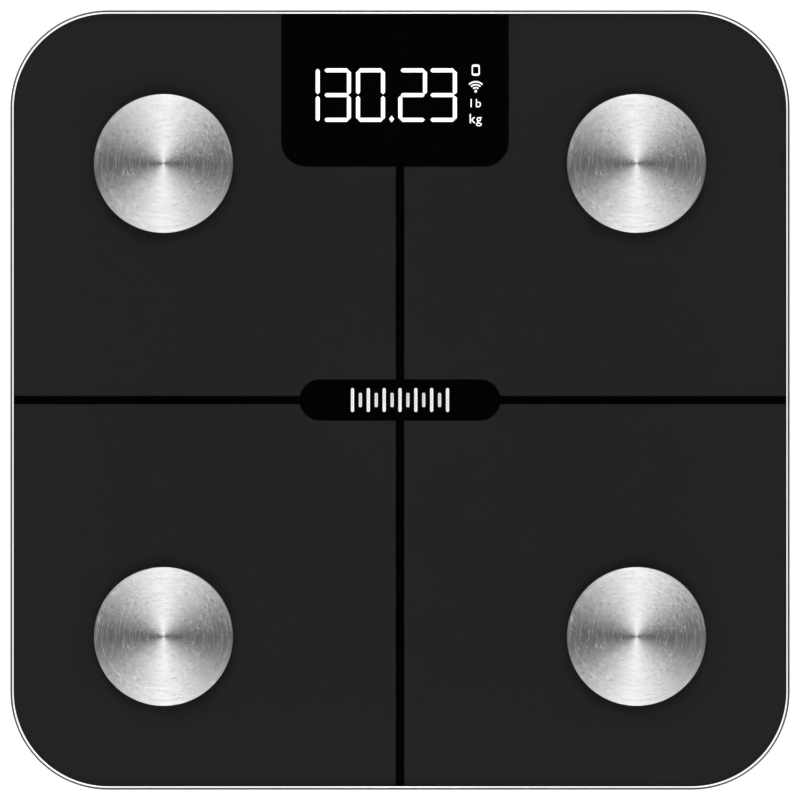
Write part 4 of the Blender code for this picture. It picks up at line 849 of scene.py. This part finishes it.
def makeIcons():
    x, stroke = icons["column"], icons["stroke"]
    y, wide, tall = icons["phone"]
    side, end = icons["phoneFrame"]
    hole = square(wide / 2 - side, tall / 2 - end, 0.2 * mm, x, y, 2)
    bm = slab(square(wide / 2, tall / 2, 0.7 * mm, x, y, 4), inkLow, litTop, holes=[hole])
    y, radii = icons["waves"]
    addLit(bm, circle(x, y, 0.5 * mm, 16))
    for radius in radii:
        outer = arc(x, y, radius + stroke / 2, 45, 135, 14)
        addLit(bm, outer + arc(x, y, radius - stroke / 2, 135, 45, 14))
    addPiece(bm, "litIcons", "scale", "smoked_diffuser", "lamp")
    for text, (middle, size, spacing) in icons["units"].items():
        curve = bpy.data.curves.new("unit" + text, "FONT")
        curve.body, curve.size = text, size * icons["capitals"]
        curve.align_x, curve.align_y = "CENTER", "CENTER"
        curve.extrude, curve.space_character = 0.04 * mm, spacing
        mesh = applied(addToScene("unit" + text, curve))
        low = Vector([min(v.co[i] for v in mesh.vertices) for i in range(3)])
        high = Vector([max(v.co[i] for v in mesh.vertices) for i in range(3)])
        centre = (low + high) / 2
        mesh.transform(Matrix.Translation((x - centre.x, middle - centre.y, glassLow.z + 0.02 * mm - centre.z)))
        addPiece(editable(mesh), "litUnit" + text.title(), "scale", "smoked_diffuser", "lamp")


def makeTicks():
    # a plain band of tick marks in the capsule, tall and short in turn
    count, pitch, half = ticks["count"], ticks["pitch"], ticks["width"] / 2
    bm = bmesh.new()
    for start, number, height in ((0, (count + 1) // 2, ticks["tall"]), (1, count // 2, ticks["short"])):
        x = (start - (count - 1) / 2) * pitch
        mark = slab(square(half, height / 2, half * 0.96, x, 0, 6), inkLow, litTop)
        name = f"tickRow{start}"
        row = spreadCopies(name, plainMesh(mark, name), "printWhite", number, offset=(2 * pitch, 0, 0))
        bm.from_mesh(row)
    # the ticks carry the white print's painted glow
    addPiece(bm, "printedTicks", "scale", "black_print", "printWhite")


makeDigits()
makeIcons()
makeTicks()
print("display: digits, icons and ticks")


def makeElectrodes():
    radius, edge, crown = electrode["radius"], electrode["round"], electrode["crown"]
    stud, chamfer = electrode["stud"], electrode["chamfer"]
    under, lip = glassHigh.z + 0.005 * mm, 0.05 * mm
    for corner, (sx, sy) in cornerSigns.items():
        low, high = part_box(f"electrode_{corner}")
        profile = [(0, high.z), (radius * 0.5, high.z), (radius * 0.9, high.z - crown * 0.4)]
        profile += rounded(radius, high.z - crown, edge, 90, 0, 8)
        profile += [(radius, under + lip), (radius - lip, under), (stud, under)]
        profile += [(stud, low.z + chamfer), (stud - chamfer, low.z), (0, low.z)]
        bm = turned(profile, sx * electrode["offset"], sy * electrode["offset"], 160)
        piece = addPiece(bm, f"electrodeDisc_{corner}", "scale", "brushed_steel", "turnedSteel", sharp=40)
        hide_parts(f"electrode_{corner}")


makeElectrodes()
print("electrodes: four discs")

trayLow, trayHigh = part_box("tray")
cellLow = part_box("load_cell_front_left")[0]
boardLow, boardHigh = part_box("main_board")
keyMiddle, keyHalf = centred("unit_key")
labelMiddle, labelHalf = centred("rating_label")
wall = 1.8 * mm
clear = 1.0 * mm  # how far a cutter reaches past what it cuts
bite = 0.6 * mm  # how far a block reaches into the wall that it joins
trayFloor = trayLow.z + wall
sunk = trayFloor - bite
tray = inMm(
    half=128.0,
    corner=23.2,
    round=3.0,
    innerRound=1.8,
    fillet=0.8,  # under the flange
    mouth=0.3,
    flangeCorner=29.2,
    flangeEdge=0.5,
    cornerSteps=20,
    ribsAlongY=(-74.0, -40.0, 40.0, 74.0),
    ribsAlongX=(-90.0, -30.0),
    rib=(1.2, 3.0),
    ribEdge=(0.1, 0.25),
)
footPlaces = {}
for corner in cornerSigns:
    footPlaces[corner] = centred(f"foot_pad_{corner}")[0].xy
well = inMm(
    inner=17.4,
    outer=19.0,
    corners=(0.4, 1.6),
    edge=0.25,
    high=12.3,
    post=12.37,
    postGap=0.3,
    hole=16.0,
    holeEdge=0.7,
)
bay = inMm(
    middleY=25.0,
    half=(27.95, 25.95),
    wall=1.5,
    roof=17.1,
    corner=0.8,
    edges=(0.3, 0.5),
    hookX=25.35,
    hookSlot=(4.6, 9.1),
    nail=(16.0, 5.0, 0.8),
    wireHole=(17.7, 14.2, 1.0),
    dividers=(-11.8, 0.0, 11.8),
    divider=(0.6, 22.25, 4.0),
    slotCorner=0.2,
)
bosses = inMm(radius=3.0, inset=5.0, screwY=92.0, pilot=1.4, edge=0.3)
keyHole = inMm(radius=4.3, edge=0.4)
labelRecess = inMm(margin=1.0, corner=2.0, deep=0.5, edge=0.25)


def traySkin():
    # bottom, sides, flange and inside of the tray as one lofted shell
    def bent(outline, *bend):
        return [(outline, away, z) for away, z in rounded(0.0, *bend)]

    steps = tray["cornerSteps"]
    outer = square(tray["half"], tray["half"], tray["corner"], steps=steps)
    flange = square(trayHigh.x, trayHigh.x, tray["flangeCorner"], steps=steps)
    inner = square(tray["half"] - wall, tray["half"] - wall, tray["corner"] - wall, steps=steps)
    edge, bend, inside = tray["flangeEdge"], tray["round"], tray["innerRound"]
    fillet, mouth = tray["fillet"], tray["mouth"]
    top, under = trayHigh.z, trayHigh.z - wall
    levels = [(outer, bend * 1.1, trayLow.z), *bent(outer, trayLow.z, bend, 270, 180, 7)]
    levels += bent(outer, under, fillet, 0, 90, 4)
    levels += [(flange, edge * 1.2, under), *bent(flange, under, edge, 270, 180, 4)]
    levels += [*bent(flange, top, edge, 180, 90, 4), (flange, edge * 1.2, top)]
    levels += [(inner, -mouth - 0.05 * mm, top), *bent(inner, top, mouth, 90, 0, 3)]
    levels += [*bent(inner, trayFloor, inside, 180, 270, 5), (inner, inside * 1.1, trayFloor)]
    bm = bmesh.new()
    rings = [addRing(bm, outline, away, z) for outline, away, z in levels]
    for first, second in zip(rings, rings[1:]):
        joinRings(bm, first, second)
    bm.faces.new(rings[0][::-1])
    bm.faces.new(rings[-1])
    bmesh.ops.recalc_face_normals(bm, faces=bm.faces)
    return bm


def addHole(cutters, radius, flare, bends, x, y, steps=72):
    # a round hole through the tray's floor that opens out at its underside
    low, high = trayLow.z - clear, trayFloor + clear
    curve = rounded(radius, trayLow.z, flare, 180, 250, bends)
    addHelper(cutters, turned([(0, high), (radius, high), *curve, (radius + flare, low), (0, low)], x, y, steps))


def addWells(blocks, cutters):
    inner, outer = well["corners"]
    for x, y in footPlaces.values():
        hole = square(well["inner"], well["inner"], inner, x, y, 4)
        edge = square(well["outer"], well["outer"], outer, x, y, 6)
        addHelper(blocks, slab(edge, sunk, well["high"], well["edge"], [hole], edgeLow=0.0, steps=3))
        half = (well["inner"] - well["post"] + bite) / 2
        away, high = well["post"] + half, cellLow.z - well["postGap"]
        for sx, sy in cornerSigns.values():
            addBlock(blocks, half, half, sunk, high, x + sx * away, y + sy * away)
        addHole(cutters, well["hole"], well["holeEdge"], 5, x, y)


def addBay(blocks, cutters, dividers):
    (halfX, halfY), thick, middle, corner = bay["half"], bay["wall"], bay["middleY"], bay["corner"]
    outerEdge, innerEdge = bay["edges"]
    low = trayLow.z - clear
    front, back = middle - halfY, middle + halfY
    addBlock(blocks, halfX + thick, halfY + thick, sunk, trayHigh.z, 0, middle, corner + thick, outerEdge)
    addBlock(cutters, halfX, halfY, low, bay["roof"], 0, middle, corner, innerEdge)
    wide, top = bay["hookSlot"]
    for side in (-1, 1):
        x, y = side * bay["hookX"], front - thick / 2
        addBlock(cutters, wide / 2, thick, trayFloor, top, x, y, bay["slotCorner"])
    wide, deep, tall = bay["nail"]
    reach = deep / 2 + 0.5 * mm
    addBlock(cutters, wide / 2, reach, low, trayLow.z + tall, 0, back + deep / 2 - 0.5 * mm, 2.2 * mm, 0.3 * mm)
    x, z, radius = bay["wireHole"]
    for side in (-1, 1):
        bm = turned([(0, 2 * mm), (radius, 2 * mm), (radius, -2 * mm), (0, -2 * mm)], steps=20)
        bmesh.ops.rotate(bm, matrix=Matrix.Rotation(math.pi / 2, 3, "X"), verts=bm.verts)
        bmesh.ops.translate(bm, vec=(side * x, back + thick / 2, z), verts=bm.verts)
        addHelper(cutters, bm)
    thick, length, drop = bay["divider"]
    roof = bay["roof"]
    for x in bay["dividers"]:
        addBlock(dividers, thick / 2, length / 2, roof - drop, roof + 0.5 * mm, x, middle, bay["slotCorner"])


def addRibs(blocks):
    (thick, tall), end = tray["rib"], tray["half"] - wall + bite
    reach = footPlaces["front_right"][0] - well["outer"] + bite
    for x in tray["ribsAlongY"]:
        addBlock(blocks, thick / 2, end, sunk, trayFloor + tall, x, 0, *tray["ribEdge"])
    for y in tray["ribsAlongX"]:
        addBlock(blocks, reach, thick / 2, sunk, trayFloor + tall, 0, y, *tray["ribEdge"])


def addBosses(blocks, cutters):
    middle, top = (boardLow.x + boardHigh.x) / 2, boardLow.z - 0.3 * mm
    side = (boardHigh.x - boardLow.x) / 2 - bosses["inset"]
    radius, pilot, edge = bosses["radius"], bosses["pilot"], bosses["edge"]
    rows = (bosses["screwY"], boardLow.y + bosses["inset"], boardHigh.y - bosses["inset"])
    profile = [(0, top), (radius - edge, top), (radius, top - edge), (radius + 0.2 * mm, sunk), (0, sunk)]
    hole = [(0, top + clear), (pilot, top + clear), (pilot, trayFloor), (0, trayFloor)]
    for row in rows:
        for x in (middle - side, middle + side):
            addHelper(blocks, turned(profile, x, row, 40))
            if row == bosses["screwY"]:
                addHelper(cutters, turned(hole, x, row, 24))


def makeTray():
    blocks, cutters, dividers = helpers("trayBlocks"), helpers("trayCutters"), helpers("trayDividers")
    addWells(blocks, cutters)
    addBay(blocks, cutters, dividers)
    addRibs(blocks)
    addBosses(blocks, cutters)
    addHole(cutters, keyHole["radius"], keyHole["edge"], 4, *keyMiddle.xy, 48)
    halfX, halfY = labelHalf.x + labelRecess["margin"], labelHalf.y + labelRecess["margin"]
    low, high = trayLow.z - clear, trayLow.z + labelRecess["deep"]
    corner, edge = labelRecess["corner"], labelRecess["edge"]
    addBlock(cutters, halfX, halfY, low, high, *labelMiddle.xy, corner, edge)
    bm = carved(traySkin(), "trayWork", ("UNION", blocks), ("DIFFERENCE", cutters), ("UNION", dividers))
    piece = addPiece(bm, "trayShell", "scale", "black_abs", "blackAbs", sharp=28)
    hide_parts("tray")


makeTray()
print("tray: shell, wells, bay and ribs")

foot = inMm(
    cup=15.5,
    lip=(16.8, 6.3, 7.9),
    boss=4.0,
    skirt=1.0,
    recess=(13.5, 2.0),
    pad=(13.2, 1.7),
    groove=(8.0, 9.5, 0.45),
    cupRounds=(0.4, 0.3, 0.6, 0.25),
    padRounds=(0.2, 0.6),
    treadCount=36,
    tread=(0.35, 1.1, 0.22),  # half width, half length and depth of one sipe
)
key = inMm(radius=4.0, lipLow=6.3, round=0.5, lipRound=0.2, dish=0.2)
label = inMm(corner=2.0, edges=(0.03, 0.06))


def cupProfile(high):
    lip, lipLow, lipHigh = foot["lip"]
    recess, recessTop = foot["recess"]
    cup, skirt, boss = foot["cup"], foot["skirt"], foot["boss"]
    bossRound, lipRound, skirtRound, recessRound = foot["cupRounds"]
    profile = [(0, high), *rounded(boss, high, bossRound, 90, 0, 4)]
    profile += [(boss, lipHigh + 0.5 * mm), (boss + 0.5 * mm, lipHigh), *rounded(lip, lipHigh, lipRound, 90, 0, 3)]
    profile += [*rounded(lip, lipLow, lipRound, 0, -90, 3), (cup, lipLow)]
    profile += rounded(cup, skirt, skirtRound, 0, -90, 6)
    profile += rounded(recess, skirt, recessRound, 270, 180, 3)
    return [*profile, (recess, recessTop), (0, recessTop)]


def padProfile():
    radius, top = foot["pad"]
    inside, outside, deep = foot["groove"]
    topRound, lowRound = foot["padRounds"]
    profile = [(0, top), *rounded(radius, top, topRound, 90, 0, 2), *rounded(radius, 0, lowRound, 0, -90, 6)]
    profile += [(outside, 0), (outside - 0.15 * mm, deep), (inside + 0.15 * mm, deep)]
    return [*profile, (inside, 0), (0, 0)]


def makeFeet():
    wide, long, deep = foot["tread"]
    middle = (foot["groove"][1] + foot["pad"][0] - 0.9 * mm) / 2
    count = foot["treadCount"]
    for corner, (x, y) in footPlaces.items():
        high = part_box(f"foot_cup_{corner}")[1].z
        bm = turned(cupProfile(high), x, y, 96)
        cup = addPiece(bm, f"footCup_{corner}", f"foot_{corner}", "black_abs", "blackAbs")
        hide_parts(f"foot_cup_{corner}")
        sipe = plainMesh(slab(square(long, wide, wide * 0.9, middle, 0, 4), -clear, deep), "sipe")
        name = f"tread_{corner}"
        ring = spreadCopies(name, sipe, "greyRubber", count, start=(x, y, 0), turn=2 * math.pi / count)
        bm = carved(turned(padProfile(), x, y, 96), "padWork", ("DIFFERENCE", addToScene(name, ring)))
        pad = addPiece(bm, f"footPad_{corner}", f"foot_{corner}", "grey_rubber", "greyRubber")
        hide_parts(f"foot_pad_{corner}")


def makeKey():
    radius, lip, dish = key["radius"], keyHalf.x, key["dish"]
    low, high = keyMiddle.z - keyHalf.z, keyMiddle.z + keyHalf.z
    profile = [(0, high), *rounded(lip, high, key["lipRound"], 90, 0, 3)]
    profile += [(lip, key["lipLow"]), (radius, key["lipLow"]), *rounded(radius, low, key["round"], 0, -90, 5)]
    profile += [(radius * 0.6, low), (radius * 0.45, low + dish * 0.6), (0, low + dish)]
    piece = addPiece(turned(profile, *keyMiddle.xy, 64), "unitKey", "unit_key", "grey_abs", "greyKey")
    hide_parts("unit_key")


def makeLabel():
    outline = square(*labelHalf.xy, label["corner"], *labelMiddle.xy, 8)
    edge, edgeLow = label["edges"]
    low, high = labelMiddle.z - labelHalf.z, labelMiddle.z + labelHalf.z
    bm = slab(outline, low, high, edge, edgeLow=edgeLow)
    piece = addPiece(bm, "blankLabel", "scale", "silver_label", "label")
    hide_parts("rating_label")


makeFeet()
makeKey()
makeLabel()
print("feet, key and label")

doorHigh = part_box("battery_door")[1]
door = inMm(
    half=27.65,
    front=-0.35,
    rear=50.65,
    plate=(4.3, 5.9),
    corner=1.5,
    edges=(0.2, 0.35),
    hook=(2.0, 1.2, 1.6, 6.3),  # half width, thickness, reach and underside
    hookFrom=0.3,
    hookEdge=0.2,
    latch=(6.0, 1.3, 0.1),  # half width, thickness and distance from the rear edge
    grip=(14.0, 0.8, 0.4),
    gripCount=4,
    gripPitch=2.0,
    gripFrom=4.0,
)


def makeDoor():
    blocks = helpers("doorBlocks")
    low, high = door["plate"]
    middle, half = (door["front"] + door["rear"]) / 2, (door["rear"] - door["front"]) / 2
    edge, edgeLow = door["edges"]
    plate = slab(square(door["half"], half, door["corner"], 0, middle, 8), low, high, edge, edgeLow=edgeLow)
    root = high - 0.5 * mm
    wide, thick, reach, under = door["hook"]
    start, soft = door["front"] + door["hookFrom"], door["hookEdge"]
    back, front = start + thick + 0.6 * mm, door["front"] - reach
    for x in (-bay["hookX"], bay["hookX"]):
        addBlock(blocks, wide, thick / 2, root, under + 0.5 * mm, x, start + thick / 2, soft)
        hookY = (back + front) / 2
        addBlock(blocks, wide, (back - front) / 2, under, under + thick, x, hookY, 0.4 * mm, soft, soft)
    wide, thick, away = door["latch"]
    latchY = door["rear"] - away - thick / 2
    addBlock(blocks, wide, thick / 2, root, doorHigh.z, 0, latchY, 0.3 * mm, 0.3 * mm)
    wide, deep, tall = door["grip"]
    groove = square(wide / 2, deep / 2, deep * 0.48, 0, door["rear"] - door["gripFrom"], 5)
    shape = plainMesh(slab(groove, low - clear, low + tall, 0.15 * mm), "grip")
    rows = spreadCopies("gripGrooves", shape, "blackAbs", door["gripCount"], offset=(0, -door["gripPitch"], 0))
    bm = carved(plate, "doorWork", ("UNION", blocks), ("DIFFERENCE", addToScene("gripWork", rows)))
    piece = addPiece(bm, "batteryDoor", "battery_door", "black_abs", "blackAbs")
    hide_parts("battery_door")


makeDoor()
print("battery door")

finishOf = {  # the pieces kept as they are, by the start of their names
    "foam_tape": "foamBlack",
    "load_cell_holder": "blackAbs",
    "load_cell_cable": "greyCable",
    "load_cell": "stampedSteel",
    "electrode_nut": "zincSteel",
    "electrode_lead": "whiteWire",
    "battery_lead_positive": "redWire",
    "battery_lead_negative": "blackWire",
    "battery": "battery",
    "contact": "nickelSteel",
    "main_board": "board",
    "controller_chip": "chipEpoxy",
    "amplifier_chip": "chipEpoxy",
    "radio_module": "stampedSteel",
    "unit_switch": "chipEpoxy",
    "wire_connector": "whiteNylon",
    "board_screw": "zincSteel",
    "led_reflector": "whiteNylon",
    "segment_diffuser": "diffuserSheet",
}


def finishKept():
    for name, node in nodes.items():
        if node.hide_render:
            continue
        found = [finish for start, finish in finishOf.items() if name.startswith(start)]
        if found:
            node.data.materials.clear()
            node.data.materials.append(finishes[found[0]])
        else:
            print("no finish for", name)


finishKept()
print("kept pieces finished")
